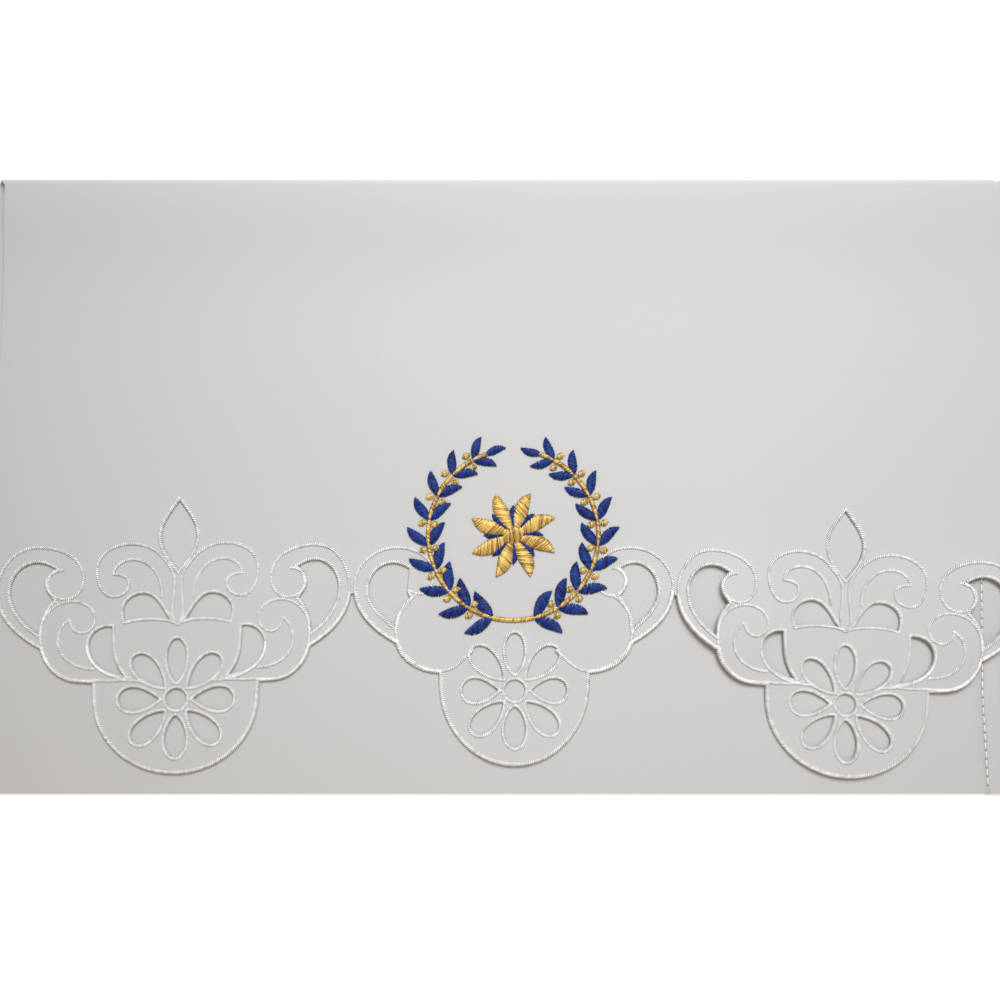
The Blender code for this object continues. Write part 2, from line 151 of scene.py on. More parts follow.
def swing(start: np.ndarray, leave: float, end: np.ndarray, reach: float, step: float) -> np.ndarray:
    """A round stretch between two points with given headings.

    Args:
        start: First point, not repeated in the result.
        leave: Heading at the first point, in degrees.
        end: Last point.
        reach: Heading at the last point, in degrees.
        step: Spacing of the points.

    Returns:
        The points after the first.
    """
    turn = math.radians(abs((reach - leave + 180) % 360 - 180))
    chord = float(np.linalg.norm(end - start))
    handle = chord / 3
    if turn > NEARLY_STRAIGHT:
        handle = chord * (2 / 3) * math.tan(turn / 4) / math.sin(turn / 2)
    pull = start + heading(leave) * handle
    push = end - heading(reach) * handle
    count = max(2, round(chord * ARC_SHARE / step))
    t = (np.arange(1, count + 1) / count)[:, None]
    u = 1 - t
    return start * u**3 + pull * 3 * u * u * t + push * 3 * u * t * t + end * t**3


def drawn(rows: tuple[Turn, ...], step: float) -> np.ndarray:
    """Points of a line through its turns.

    Args:
        rows: The line's turns.
        step: Spacing of the points.

    Returns:
        An array of x and y, one row a point.
    """
    points = [np.array([(rows[0].x, rows[0].y)])]
    for here, there in zip(rows, rows[1:]):
        end = np.array((there.x, there.y))
        points.append(swing(points[-1][-1], here.leave, end, there.reach, step))
    return np.vstack(points)


def even(points: np.ndarray, pitch: float) -> np.ndarray:
    """The same line with evenly spaced points.

    Args:
        points: The line's points.
        pitch: Wanted spacing.

    Returns:
        Points at the nearest spacing that divides the line evenly.
    """
    lengths = np.concatenate(([0.0], np.cumsum(np.linalg.norm(np.diff(points, axis=0), axis=1))))
    count = max(2, round(lengths[-1] / pitch))
    places = np.linspace(0.0, lengths[-1], count + 1)
    return np.column_stack([np.interp(places, lengths, points[:, axis]) for axis in (0, 1)])


def mirrored(points: np.ndarray) -> np.ndarray:
    """The points on the other side of the motif's middle line, in reverse order."""
    return points[::-1] * (-1.0, 1.0)


def inset(loop: np.ndarray, amount: float) -> np.ndarray:
    """A closed loop drawn in by an even amount.

    Args:
        loop: The loop's points, the first not repeated.
        amount: How far each point moves in.

    Returns:
        The moved points, without those that a corner swallows.
    """
    after = np.roll(loop, -1, axis=0)
    before = np.roll(loop, 1, axis=0)
    inward = math.copysign(1.0, signed_area(loop))
    first = (loop - before) / np.linalg.norm(loop - before, axis=1)[:, None]
    second = (after - loop) / np.linalg.norm(after - loop, axis=1)[:, None]
    side = quarter_turned(first) * inward
    normal = quarter_turned(first + second) * inward
    normal /= np.linalg.norm(normal, axis=1)[:, None]
    spread = np.maximum(SHARPEST_CORNER, np.sum(normal * side, axis=1))
    moved = loop + normal * amount / spread[:, None]
    chord = after - loop
    from_start = moved[:, None, :] - loop[None]
    share = np.clip(np.sum(from_start * chord, axis=2) / np.sum(chord * chord, axis=1), 0.0, 1.0)
    gap = np.linalg.norm(from_start - share[..., None] * chord, axis=2).min(axis=1)
    return moved[gap > amount * CLEAR_SHARE]


def inside(points: np.ndarray, loop: np.ndarray) -> np.ndarray:
    """Which points lie in a closed loop.

    Args:
        points: Points to test.
        loop: The loop's points, the first not repeated.

    Returns:
        One truth value a point.
    """
    result = np.zeros(len(points), dtype=bool)
    low, high = loop.min(axis=0), loop.max(axis=0)
    near = np.nonzero(np.all((points >= low) & (points <= high), axis=1))[0]
    if len(near) == 0:
        return result
    x, y = points[near, 0][:, None], points[near, 1][:, None]
    here, there = loop, np.roll(loop, -1, axis=0)
    rise = np.where(there[:, 1] == here[:, 1], TINY, there[:, 1] - here[:, 1])
    crosses = (here[:, 1] > y) != (there[:, 1] > y)
    left = x < here[:, 0] + (there[:, 0] - here[:, 0]) * (y - here[:, 1]) / rise
    result[near] = np.sum(crosses & left, axis=1) % 2 == 1
    return result


@dataclass(frozen=True)
class Petal:
    """One petal of a daisy: its heading in degrees, its tip's reach, half width and root.

    The greater the taper, the finer the petal's root.
    """

    angle: float
    reach: float
    half_width: float
    taper: float


def petals(level: float, top: float, foot: float, slant: float) -> tuple[Petal, ...]:
    """Eight petals whose reach differs by direction.

    Args:
        level: Reach of the two level petals.
        top: Reach of the petal that points to the back.
        foot: Reach of the petal that points to the front.
        slant: Reach of the four slanted petals.

    Returns:
        The petals, counted from the right.
    """
    reaches = (level, slant, top, slant, level, slant, foot, slant)
    widths = (4.9, 4.4, 3.6, 4.4, 4.9, 4.4, 4.0, 4.4)
    tapers = (0.42, 0.34, 0.16, 0.34, 0.42, 0.34, 0.16, 0.34)
    turn = 360.0 / len(reaches)
    return tuple(Petal(turn * i, *row) for i, row in enumerate(zip(reaches, widths, tapers)))


@dataclass(frozen=True)
class Daisy:
    """The daisy in a scallop: eight cut petals round a cut ring.

    fullness makes up for the width that the petals' taper takes.
    """

    petals: tuple[Petal, ...]
    root: float = 5.5
    ring_radius: float = 4.2
    fullness: float = 1.2

    def petal_loop(self, petal: Petal, count: int = 44) -> np.ndarray:
        """Outline of one petal.

        Args:
            petal: The petal's sizes.
            count: Number of points.

        Returns:
            A closed loop, the first point not repeated.
        """
        turn = 2 * np.pi * np.arange(count) / count
        along = (1 - np.cos(turn)) / 2
        across = petal.half_width * self.fullness * np.sin(turn) * along**petal.taper
        reach = self.root + (petal.reach - self.root) * along
        spoke = heading(petal.angle)
        return reach[:, None] * spoke + across[:, None] * quarter_turned(spoke)

    def ring(self, count: int = 40) -> np.ndarray:
        """Closed loop of the daisy's middle ring."""
        turn = 2 * np.pi * np.arange(count) / count
        return self.ring_radius * np.column_stack((np.cos(turn), np.sin(turn)))

    def loops(self) -> list[np.ndarray]:
        """All closed loops of the daisy."""
        return [self.petal_loop(petal) for petal in self.petals] + [self.ring()]


@dataclass(frozen=True)
class MotifDesign:
    """The drawn lines of one scallop design, with its middle line at x = 0.

    The edge, the openings and the lines are drawn for the right half and repeated on the left. The
    single ones stand alone. A single opening whose last turn isn't its first has a bare side.
    """

    edge: tuple[Turn, ...]
    openings: tuple[tuple[Turn, ...], ...]
    single_openings: tuple[tuple[Turn, ...], ...]
    lines: tuple[tuple[Turn, ...], ...]
    single_lines: tuple[tuple[Turn, ...], ...]
    daisy: Daisy


PLAIN_DESIGN = MotifDesign(
    edge=turns((0.0, -26.2, 0, 0), (28.9, -2.0, 84, 84), (29.2, 6.4, 92, 358), (36.0, 6.9, 8, 8),
               (47.5, 18.6, 80, 30), (61.6, 36.6, 84, 84)),
    openings=(
        closed((47.9, 22.6, 290, 33), (58.2, 38.8, 90, 90), (49.2, 49.2, 180, 180), (42.0, 46.4, 216, 345),
               (45.6, 41.2, 270, 270), (42.9, 35.4, 235, 318), (47.3, 27.6, 283, 283)),
        closed((22.9, 26.2, 86, 12), (31.8, 19.4, 270, 270), (26.8, 10.6, 212, 212), (17.8, 7.9, 186, 46),
               (22.3, 17.0, 80, 80)),
        closed((1.6, 27.4, 200, 52), (12.4, 38.0, 0, 0), (19.9, 31.4, 270, 270), (19.2, 27.2, 262, 164),
               (10.4, 28.5, 180, 180)),
    ),
    single_openings=(
        closed((0.0, 45.0, 312, 48), (6.8, 57.9, 90, 90), (0.0, 71.4, 124, 236), (-6.8, 57.9, 270, 270)),
    ),
    lines=(
        smooth((47.0, 18.5, 28), (61.8, 38.5, 90), (49.0, 54.3, 180), (33.4, 43.0, 270),
               (39.6, 35.8, 0), (46.0, 41.4, 90), (40.5, 46.2, 178)),
        smooth((16.0, 7.6, 346), (28.0, 6.9, 4), (36.0, 6.9, 8), (47.8, 23.6, 90),
               (37.2, 35.1, 180), (29.2, 28.6, 270), (33.8, 23.8, 0), (37.8, 28.2, 90)),
        smooth((29.5, 11.0, 0), (41.8, 21.0, 90), (37.9, 28.6, 150)),
        smooth((0.6, 26.6, 62), (1.9, 31.0, 92), (1.2, 42.0, 88), (5.0, 49.6, 52), (16.8, 55.3, 0),
               (28.8, 46.2, 270), (22.6, 36.6, 180), (17.5, 41.2, 90), (22.8, 44.6, 0)),
        smooth((5.6, 36.5, 92), (16.4, 49.8, 0), (23.2, 44.6, 280)),
        smooth((31.8, 19.4, 270), (27.6, 11.0, 218), (12.0, 6.6, 178)),
    ),
    single_lines=(),
    daisy=Daisy(petals(21.0, 21.9, 21.2, 21.9)),
)
CENTRE_DESIGN = MotifDesign(
    edge=turns((0.0, -26.5, 0, 0), (26.2, -2.0, 83, 83), (26.6, 6.6, 92, 0), (42.5, 17.4, 76, 30),
               (57.2, 35.4, 84, 84)),
    openings=(),
    single_openings=(
        closed((42.6, 21.4, 288, 42), (52.4, 35.8, 90, 90), (43.4, 46.0, 180, 180), (37.4, 43.6, 218, 345),
               (40.4, 39.2, 270, 270), (37.6, 33.8, 235, 318), (42.0, 26.0, 282, 282)),
        turns((-38.2, 35.6, 268, 290), (-37.0, 32.9, 290, 235), (-41.6, 26.9, 242, 242),
              (-42.6, 21.8, 252, 138), (-53.0, 35.8, 90, 90), (-43.6, 46.0, 0, 0), (-37.6, 44.0, 330, 266)),
    ),
    lines=(
        smooth((15.2, 14.4, 315), (26.6, 7.0, 0), (42.7, 22.0, 90), (35.6, 34.0, 150)),
    ),
    single_lines=(
        smooth((42.4, 17.4, 28), (57.4, 37.0, 90), (42.1, 51.2, 180), (29.2, 41.5, 270),
               (35.0, 34.0, 0), (40.4, 39.2, 90), (35.8, 44.0, 178)),
        smooth((-42.4, 17.4, 152), (-57.4, 37.0, 90), (-42.1, 51.2, 0), (-29.2, 41.5, 270),
               (-33.9, 34.6, 180), (-37.8, 35.8, 150)),
    ),
    daisy=Daisy(petals(19.3, 21.0, 21.0, 21.7)),
)


@dataclass(frozen=True)
class Stitch:
    """How satin stitches lie across a line, in millimetres, with their lean in degrees.

    fill is each thread's breadth as a share of the pitch, floor and crown the height of a stitch's
    ends and of its rise over them, and relief half the thread's height. Over a cut edge a stitch
    comes down by drop. The noises are the spread of its lean, reach and crown.
    """

    width: float
    pitch: float
    slant: float
    crown: float
    relief: float
    fill: float = 0.42
    floor: float = 0.0
    drop: float = 0.0
    stations: int = 7
    drop_power: float = 1.5
    tip_taper: float = 0.35
    lean_noise: float = 3.0
    reach_noise: float = 0.035
    crown_noise: float = 0.06


EDGE_STITCH = Stitch(width=1.65, pitch=0.72, slant=30.0, crown=0.42, relief=0.23, drop=0.85)
OPENING_STITCH = Stitch(width=1.28, pitch=0.72, slant=32.0, crown=0.42, relief=0.23, drop=0.75)
LINE_STITCH = Stitch(width=1.08, pitch=0.72, slant=34.0, crown=0.46, relief=0.23, stations=6)
LEAF_STITCH = Stitch(
    width=4.4, pitch=0.42, slant=24.0, crown=0.85, relief=0.13, fill=0.6, floor=0.2, stations=8
)
STEM_STITCH = Stitch(width=1.7, pitch=0.50, slant=30.0, crown=0.8, relief=0.2, fill=0.55, floor=0.2)
DOT_STITCH = Stitch(width=2.5, pitch=0.38, slant=6.0, crown=0.8, relief=0.14, fill=0.55, floor=0.2)


@dataclass(frozen=True)
class SatinLine:
    """A satin-stitched line on the cloth, in plan millimetres."""

    points: np.ndarray
    stitch: Stitch
    wrap: Wrap


@dataclass(frozen=True)
class Motif:
    """One scallop of the cutwork edge, laid on the cloth.

    left, right and tall scale it, lean and slope skew it, and flare widens its left side more and
    more, by that share at flare_reach. step is the spacing of its points.
    """

    name: str
    design: MotifDesign
    x: float
    y: float
    lean: float = 0.0
    slope: float = 0.0
    left: float = 1.0
    right: float = 1.0
    tall: float = 1.0
    flare: float = 0.0
    flare_reach: float = 60.0
    step: float = 0.6

    def place(self, points: np.ndarray) -> np.ndarray:
        """Lay points of the motif's own frame on the cloth.

        Args:
            points: x and y from the motif's middle.

        Returns:
            The points in the cloth's plan.
        """
        x = points[:, 0] * np.where(points[:, 0] < 0, self.left, self.right)
        x *= 1 + self.flare * (np.minimum(x, 0.0) / self.flare_reach) ** 2
        y = points[:, 1] * self.tall
        return np.column_stack((self.x + x + self.lean * y, self.y + y + self.slope * x))

    def free_edge(self) -> np.ndarray:
        """The scallop's free edge from its left cleft to its right one."""
        half = drawn(self.design.edge, self.step)
        return self.place(np.vstack((mirrored(half)[:-1], half)))

    def seams(self) -> list[np.ndarray]:
        """The stitched line of every opening. An open one leaves the opening's last side bare.

        Returns:
            One line an opening, in the cloth's plan.
        """
        paths = []
        for rows in self.design.openings:
            path = drawn(rows, self.step)
            paths += [path, mirrored(path)]
        paths += [drawn(rows, self.step) for rows in self.design.single_openings]
        paths += [np.vstack((loop, loop[:1])) for loop in self.design.daisy.loops()]
        return [self.place(path) for path in paths]

    def opening_loops(self) -> list[np.ndarray]:
        """Closed loops of every opening, the first point not repeated."""
        return [path[:-1] if np.allclose(path[0], path[-1]) else path for path in self.seams()]

    def satin(self) -> list[SatinLine]:
        """Every satin line of the motif, the free edge last so that it lies on top.

        Returns:
            The lines in order.
        """
        paths = [drawn(rows, self.step) for rows in self.design.lines]
        paths += [mirrored(path) for path in paths]
        paths += [drawn(rows, self.step) for rows in self.design.single_lines]
        lines = [SatinLine(self.place(path), LINE_STITCH, Wrap.NONE) for path in paths]
        for seam in self.seams():
            wrap = Wrap.LEFT if signed_area(seam) > 0 else Wrap.RIGHT
            lines.append(SatinLine(seam, OPENING_STITCH, wrap))
        lines.append(SatinLine(self.free_edge(), EDGE_STITCH, Wrap.RIGHT))
        return lines


MOTIFS = (
    Motif(
        "left", PLAIN_DESIGN, -116.1, -75.8, lean=0.019, slope=0.012, right=0.995, tall=1.01, flare=0.045
    ),
    Motif("centre", CENTRE_DESIGN, 5.4, -72.7, right=0.985),
    Motif("right", PLAIN_DESIGN, 123.9, -77.7, slope=-0.045, left=0.965, tall=0.98, flare=0.01),
)


@dataclass(frozen=True)
class Lift:
    """A soft lift of the upper layer: its middle, its reach both ways and its height."""

    x: float
    y: float
    span_x: float
    span_y: float
    height: float


@dataclass(frozen=True)
class Side:
    """A side edge of one layer: its x at the back and at the front."""

    back: float
    front: float


@dataclass(frozen=True)
class ClothShape:
    """How the cloth lies: the folded section, its side edges, its hem and its soft lifts.

    The solid sizes are those of the frame's sheet. The dressed sheet is thinner and lies settle
    lower. The fades and spans are the distances over which a height comes in.
    """

    solid_thick: float = 1.0
    thick: float = 0.6
    lower_thick: float = 0.9
    settle: float = 0.8
    solid_rise: float = 1.6
    solid_fold: float = 2.1
    back_edge: float = 110.0
    front: float = -110.0
    upper_left: Side = Side(-175.8, -187.7)
    lower_left: Side = Side(-181.0, -184.0)
    upper_right: Side = Side(204.0, 204.0)
    lower_right: Side = Side(186.5, 189.0)
    bend: float = 1.7
    bend_span: float = 34.0
    hem_width: float = 15.0
    hem_thick: float = 0.45
    hem_step: float = 0.5
    hem_lift: float = 0.7
    hem_lift_from: float = 140.0
    hem_lift_span: float = 40.0
    fold_fade: float = 24.0
    ripple_fade: float = 15.0
    thicken_span: float = 12.0
    origin_x: float = 10.0
    lifts: tuple[Lift, ...] = (
        Lift(82.0, -50.0, 24.0, 24.0, 2.6),
        Lift(176.0, -52.0, 26.0, 24.0, 2.2),
        Lift(126.0, -102.0, 30.0, 16.0, 1.2),
        Lift(3.0, -104.0, 30.0, 14.0, 0.7),
        Lift(-58.0, -50.0, 18.0, 20.0, 0.4),
        Lift(-116.0, -84.0, 40.0, 24.0, 0.3),
        Lift(-60.0, 40.0, 70.0, 34.0, 0.5),
        Lift(110.0, 52.0, 60.0, 40.0, 0.4),
    )

    @property
    def back(self) -> float:
        """y where the back fold starts."""
        return self.back_edge - self.solid_fold - self.solid_thick / 2

    @property
    def fold_radius(self) -> float:
        """Radius of the back fold at the middle of the cloth's thickness."""
        return self.solid_fold + (self.solid_thick - self.thick) / 2

    @property
    def fold_length(self) -> float:
        """Length of cloth in the back fold."""
        return math.pi * self.fold_radius

    def under(self, y: float) -> float:
        """Pattern place of a point on the lower layer."""
        return self.turned + (self.back - y)

    @property
    def end(self) -> float:
        """Pattern place of the lower layer's front edge."""
        return self.under(self.front)

    @property
    def turned(self) -> float:
        """Pattern place where the back fold ends."""
        return self.back + self.fold_length

    def side_x(self, upper: Side, lower: Side, v: np.ndarray) -> np.ndarray:
        """A side edge's x.

        Args:
            upper: The edge on the upper layer.
            lower: The edge on the lower layer.
            v: Places along the pattern.

        Returns:
            x at each place.
        """
        ends = (upper.front, upper.back, lower.back, lower.front)
        return np.interp(v, (self.front, self.back, self.turned, self.end), ends)

    def left_x(self, v: np.ndarray) -> np.ndarray:
        """The left edge's x."""
        return self.side_x(self.upper_left, self.lower_left, v)

    def right_x(self, v: np.ndarray) -> np.ndarray:
        """The right edge's x, drawn in a little on the lower layer but not at its front.

        Args:
            v: Places along the pattern.

        Returns:
            x at each place.
        """
        away = np.clip((self.end - v) / self.bend_span, 0.0, 1.0)
        past = np.clip((v - self.back - self.fold_length) / self.bend_span, 0.0, 1.0)
        return self.side_x(self.upper_right, self.lower_right, v) - self.bend * away * past

    def top(self, x: np.ndarray, y: np.ndarray) -> np.ndarray:
        """Height of the upper layer's upper side.

        Args:
            x: Places across the cloth.
            y: Places from front to back.

        Returns:
            Height in millimetres over what the cloth lies on.
        """
        fade = np.exp(-(((self.back - y) / self.fold_fade) ** 2))
        low = self.solid_thick + self.solid_rise - self.settle
        height = low + (2 * self.fold_radius + self.thick - low) * fade
        hem = np.clip((x - self.hem_lift_from) / self.hem_lift_span, 0.0, 1.0)
        height = height + self.hem_lift * hem * hem * (3 - 2 * hem) * (1 - fade)
        for lift in self.lifts:
            far = ((x - lift.x) / lift.span_x) ** 2 + ((y - lift.y) / lift.span_y) ** 2
            height = height + lift.height * np.exp(-far) * (1 - fade)
        return height

    def ripple(self, x: np.ndarray, v: np.ndarray) -> np.ndarray:
        """Small unevenness that ironing leaves in the cloth, in millimetres.

        Args:
            x: Places across the pattern.
            v: Places along the pattern.

        Returns:
            Height added at each place.
        """
        waves = (
            0.050 * np.sin(x / 9.7 + 1.3 * np.sin(v / 31.0)),
            0.045 * np.sin(v / 12.3 + 1.7 * np.sin(x / 43.0) + 0.6),
            0.035 * np.sin((x + v) / 17.1 + 2.1),
        )
        return sum(waves)

    def skins(self, x: np.ndarray, v: np.ndarray) -> tuple[np.ndarray, np.ndarray]:
        """The cloth's right side and wrong side.

        Args:
            x: Places across the pattern.
            v: Places along the pattern.

        Returns:
            Two arrays of points in millimetres, before the origin's shift.
        """
        radius = self.fold_radius
        angle = np.clip((v - self.back) / radius, 0.0, math.pi)
        outward = np.column_stack((np.zeros_like(x), np.sin(angle), np.cos(angle)))
        past = v - self.back - self.fold_length
        y = np.where(v <= self.back, v, self.back - np.maximum(past, 0.0))
        middle = np.column_stack((x, y, np.full_like(x, self.thick / 2 + radius)))
        middle += outward * radius
        calm = np.clip((self.back - v) / self.ripple_fade, 0.0, 1.0)
        lifted = self.top(x, v) - self.thick / 2 + self.ripple(x, v) * calm
        middle[:, 2] = np.where(v <= self.back, lifted, middle[:, 2])
        hem = np.clip((x - self.right_x(v) + self.hem_width) / self.hem_step, 0.0, 1.0)
        thicker = (self.lower_thick - self.thick) * np.clip(past / self.thicken_span, 0.0, 1.0)
        extra = thicker + self.hem_thick * hem
        return middle + outward * self.thick / 2, middle - outward * (self.thick / 2 + extra[:, None])

    def to_frame(self, points: np.ndarray) -> np.ndarray:
        """Points in metres, in the frame's axes."""
        return (points - (self.origin_x, 0.0, 0.0)) * MM


@dataclass(frozen=True)
class HemSeam:
    """Where the side hem's lockstitches run, in pattern millimetres."""

    pitch: float = 3.15
    length: float = 2.6
    from_fold: float = 1.3
    first: float = -33.0

    def x(self, shape: ClothShape, v: np.ndarray) -> np.ndarray:
        """The seam's x at places along the pattern."""
        return shape.right_x(v) - shape.hem_width + self.from_fold


HEM_SEAM = HemSeam()


def link(name: str, data: ID) -> Object:
    """A linked object that shows the given data.

    Args:
        name: The object's name.
        data: What it shows.

    Returns:
        The object.
    """
    made = bpy.data.objects.new(name, data)
    bpy.context.scene.collection.objects.link(made)
    return made


def new_object(name: str, vertices: np.ndarray, faces: np.ndarray | list) -> Object:
    """A linked mesh object.

    Args:
        name: The piece's name.
        vertices: Points in metres.
        faces: Rows of vertex numbers.

    Returns:
        The object.
    """
    mesh = bpy.data.meshes.new(name)
    rows = faces.tolist() if isinstance(faces, np.ndarray) else faces
    mesh.from_pydata(vertices.tolist(), [], rows)
    mesh.shade_smooth()
    return link(name, mesh)


def add_map(piece: Object, name: str, places: np.ndarray) -> None:
    """Give a mesh a UV map from two numbers a vertex.

    Args:
        piece: The mesh object.
        name: The map's name.
        places: Both numbers of each vertex.
    """
    mesh = piece.data
    layer = mesh.uv_layers.new(name=name)
    corners = np.empty(len(mesh.loops), dtype=np.int64)
    mesh.loops.foreach_get("vertex_index", corners)
    layer.data.foreach_set("uv", places[corners].astype(np.float32).ravel())


class NodeCanvas:
    """Short calls for placing and joining shader nodes in one tree."""

    def __init__(self, tree: NodeTree) -> None:
        """Take the tree that the nodes go into."""
        self.tree = tree

    def add(self, kind: str, **settings: object) -> Node:
        """A node with its settings.

        Args:
            kind: The node's type name.
            **settings: Attributes to set on it.

        Returns:
            The node.
        """
        node = self.tree.nodes.new(kind)
        for name, value in settings.items():
            setattr(node, name, value)
        return node

    def join(self, source: NodeSocket, target: NodeSocket) -> None:
        """Link one socket to another."""
        self.tree.links.new(source, target)

    def feed(self, socket: NodeSocket, value: object) -> None:
        """Link a socket, or set it where the value isn't one.

        Args:
            socket: The input.
            value: A socket, or a plain value.
        """
        if isinstance(value, NodeSocket):
            self.join(value, socket)
        else:
            socket.default_value = value

    def math(self, operation: str, *values: object) -> NodeSocket:
        """Result of a math node on up to three values.

        Args:
            operation: The node's operation.
            *values: Sockets or numbers.

        Returns:
            The result's socket.
        """
        node = self.add("ShaderNodeMath", operation=operation)
        for socket, value in zip(node.inputs, values):
            self.feed(socket, value)
        return node.outputs[0]

    def span(self, value: NodeSocket, low: float, high: float, to_low: float, to_high: float) -> NodeSocket:
        """A value mapped from one range to another, clamped.

        Args:
            value: The value's socket.
            low: Start of the range it comes from.
            high: End of that range.
            to_low: Start of the range it goes to.
            to_high: End of that range.

        Returns:
            The result's socket.
        """
        node = self.add("ShaderNodeMapRange")
        for socket, number in zip(node.inputs, (value, low, high, to_low, to_high)):
            self.feed(socket, number)
        return node.outputs[0]

    def noise(self, place: NodeSocket, scale: object, detail: float, dimensions: str = "2D") -> NodeSocket:
        """Soft noise from 0 to 1.

        Args:
            place: Where it is looked up.
            scale: Its fineness, a socket or a number.
            detail: Its number of octaves.
            dimensions: 2D or 3D.

        Returns:
            The noise's socket.
        """
        node = self.add("ShaderNodeTexNoise", noise_dimensions=dimensions)
        for label, value in (("Vector", place), ("Scale", scale), ("Detail", detail)):
            self.feed(node.inputs[label], value)
        return node.outputs["Fac"]

    def parts(self, vector: NodeSocket) -> tuple[NodeSocket, NodeSocket]:
        """The first two numbers of a vector.

        Args:
            vector: The vector's socket.

        Returns:
            Their sockets.
        """
        node = self.add("ShaderNodeSeparateXYZ")
        self.join(vector, node.inputs[0])
        return node.outputs["X"], node.outputs["Y"]

    def blend(self, share: NodeSocket, low: object, high: object) -> NodeSocket:
        """A colour between two others, each a socket or three numbers.

        Args:
            share: How much of the second colour shows.
            low: The first colour.
            high: The second colour.

        Returns:
            The colour's socket.
        """
        node = self.add("ShaderNodeMix", data_type="RGBA")
        self.join(share, node.inputs["Factor"])
        for socket, colour in zip(node.inputs[6:8], (low, high)):
            self.feed(socket, (*colour, 1.0) if isinstance(colour, tuple) else colour)
        return node.outputs[2]

    def places(self, name: str) -> NodeSocket:
        """The places of a UV map."""
        return self.add("ShaderNodeUVMap", uv_map=name).outputs["UV"]

    def effect(self, group: NodeTree, *values: NodeSocket) -> Node:
        """A shared effect, with sockets for its first inputs.

        Args:
            group: The effect's node group.
            *values: Sockets for its inputs, in order.

        Returns:
            The group's node.
        """
        node = self.add("ShaderNodeGroup", node_tree=group)
        for socket, value in zip(node.inputs, values):
            self.join(value, socket)
        return node


class Coat(NodeCanvas):
    """A new material: its nodes, and its main shader."""

    def __init__(self, name: str, values: dict[str, object]) -> None:
        """Make the material.

        Args:
            name: The material's name.
            values: Plain values of the main shader's inputs.
        """
        self.material = bpy.data.materials.new(name)
        self.material.use_nodes = True
        super().__init__(self.material.node_tree)
        self.shader = self.tree.nodes["Principled BSDF"]
        for label, value in values.items():
            self.shader.inputs[label].default_value = value

    def emboss(self, height: NodeSocket, strength: float, distance: float) -> None:
        """Bend the main shader's normal by a height.

        Args:
            height: The height's socket.
            strength: How strongly it shows.
            distance: The greatest height in metres.
        """
        bump = self.add("ShaderNodeBump")
        for label, value in (("Strength", strength), ("Distance", distance), ("Height", height)):
            self.feed(bump.inputs[label], value)
        self.join(bump.outputs["Normal"], self.shader.inputs["Normal"])


class Effect:
    """A shader effect that the materials share as one node group.

    Each kind names its inputs with their first values, and its outputs.
    """

    NAME: ClassVar[str]
    INPUTS: ClassVar[dict[str, object]]
    OUTPUTS: ClassVar[tuple[str, ...]]

    def wire(self, canvas: NodeCanvas, *inputs: NodeSocket) -> tuple[NodeSocket, ...]:
        """Place the effect's nodes.

        Args:
            canvas: The group's nodes.
            *inputs: The group's inputs in their order.

        Returns:
            What the outputs show, in their order.
        """
        raise NotImplementedError

    def build(self) -> NodeTree:
        """Make the node group.

        Returns:
            A group with the inputs and outputs that the effect names.
        """
        group = bpy.data.node_groups.new(self.NAME, "ShaderNodeTree")
        for label, value in self.INPUTS.items():
            kind = "NodeSocketVector" if isinstance(value, tuple) else "NodeSocketFloat"
            socket = group.interface.new_socket(name=label, in_out="INPUT", socket_type=kind)
            socket.default_value = value
        for label in self.OUTPUTS:
            group.interface.new_socket(name=label, in_out="OUTPUT", socket_type="NodeSocketFloat")
        canvas = NodeCanvas(group)
        source = canvas.add("NodeGroupInput")
        result = canvas.add("NodeGroupOutput")
        for value, socket in zip(self.wire(canvas, *source.outputs[:len(self.INPUTS)]), result.inputs):
            canvas.join(value, socket)
        return group


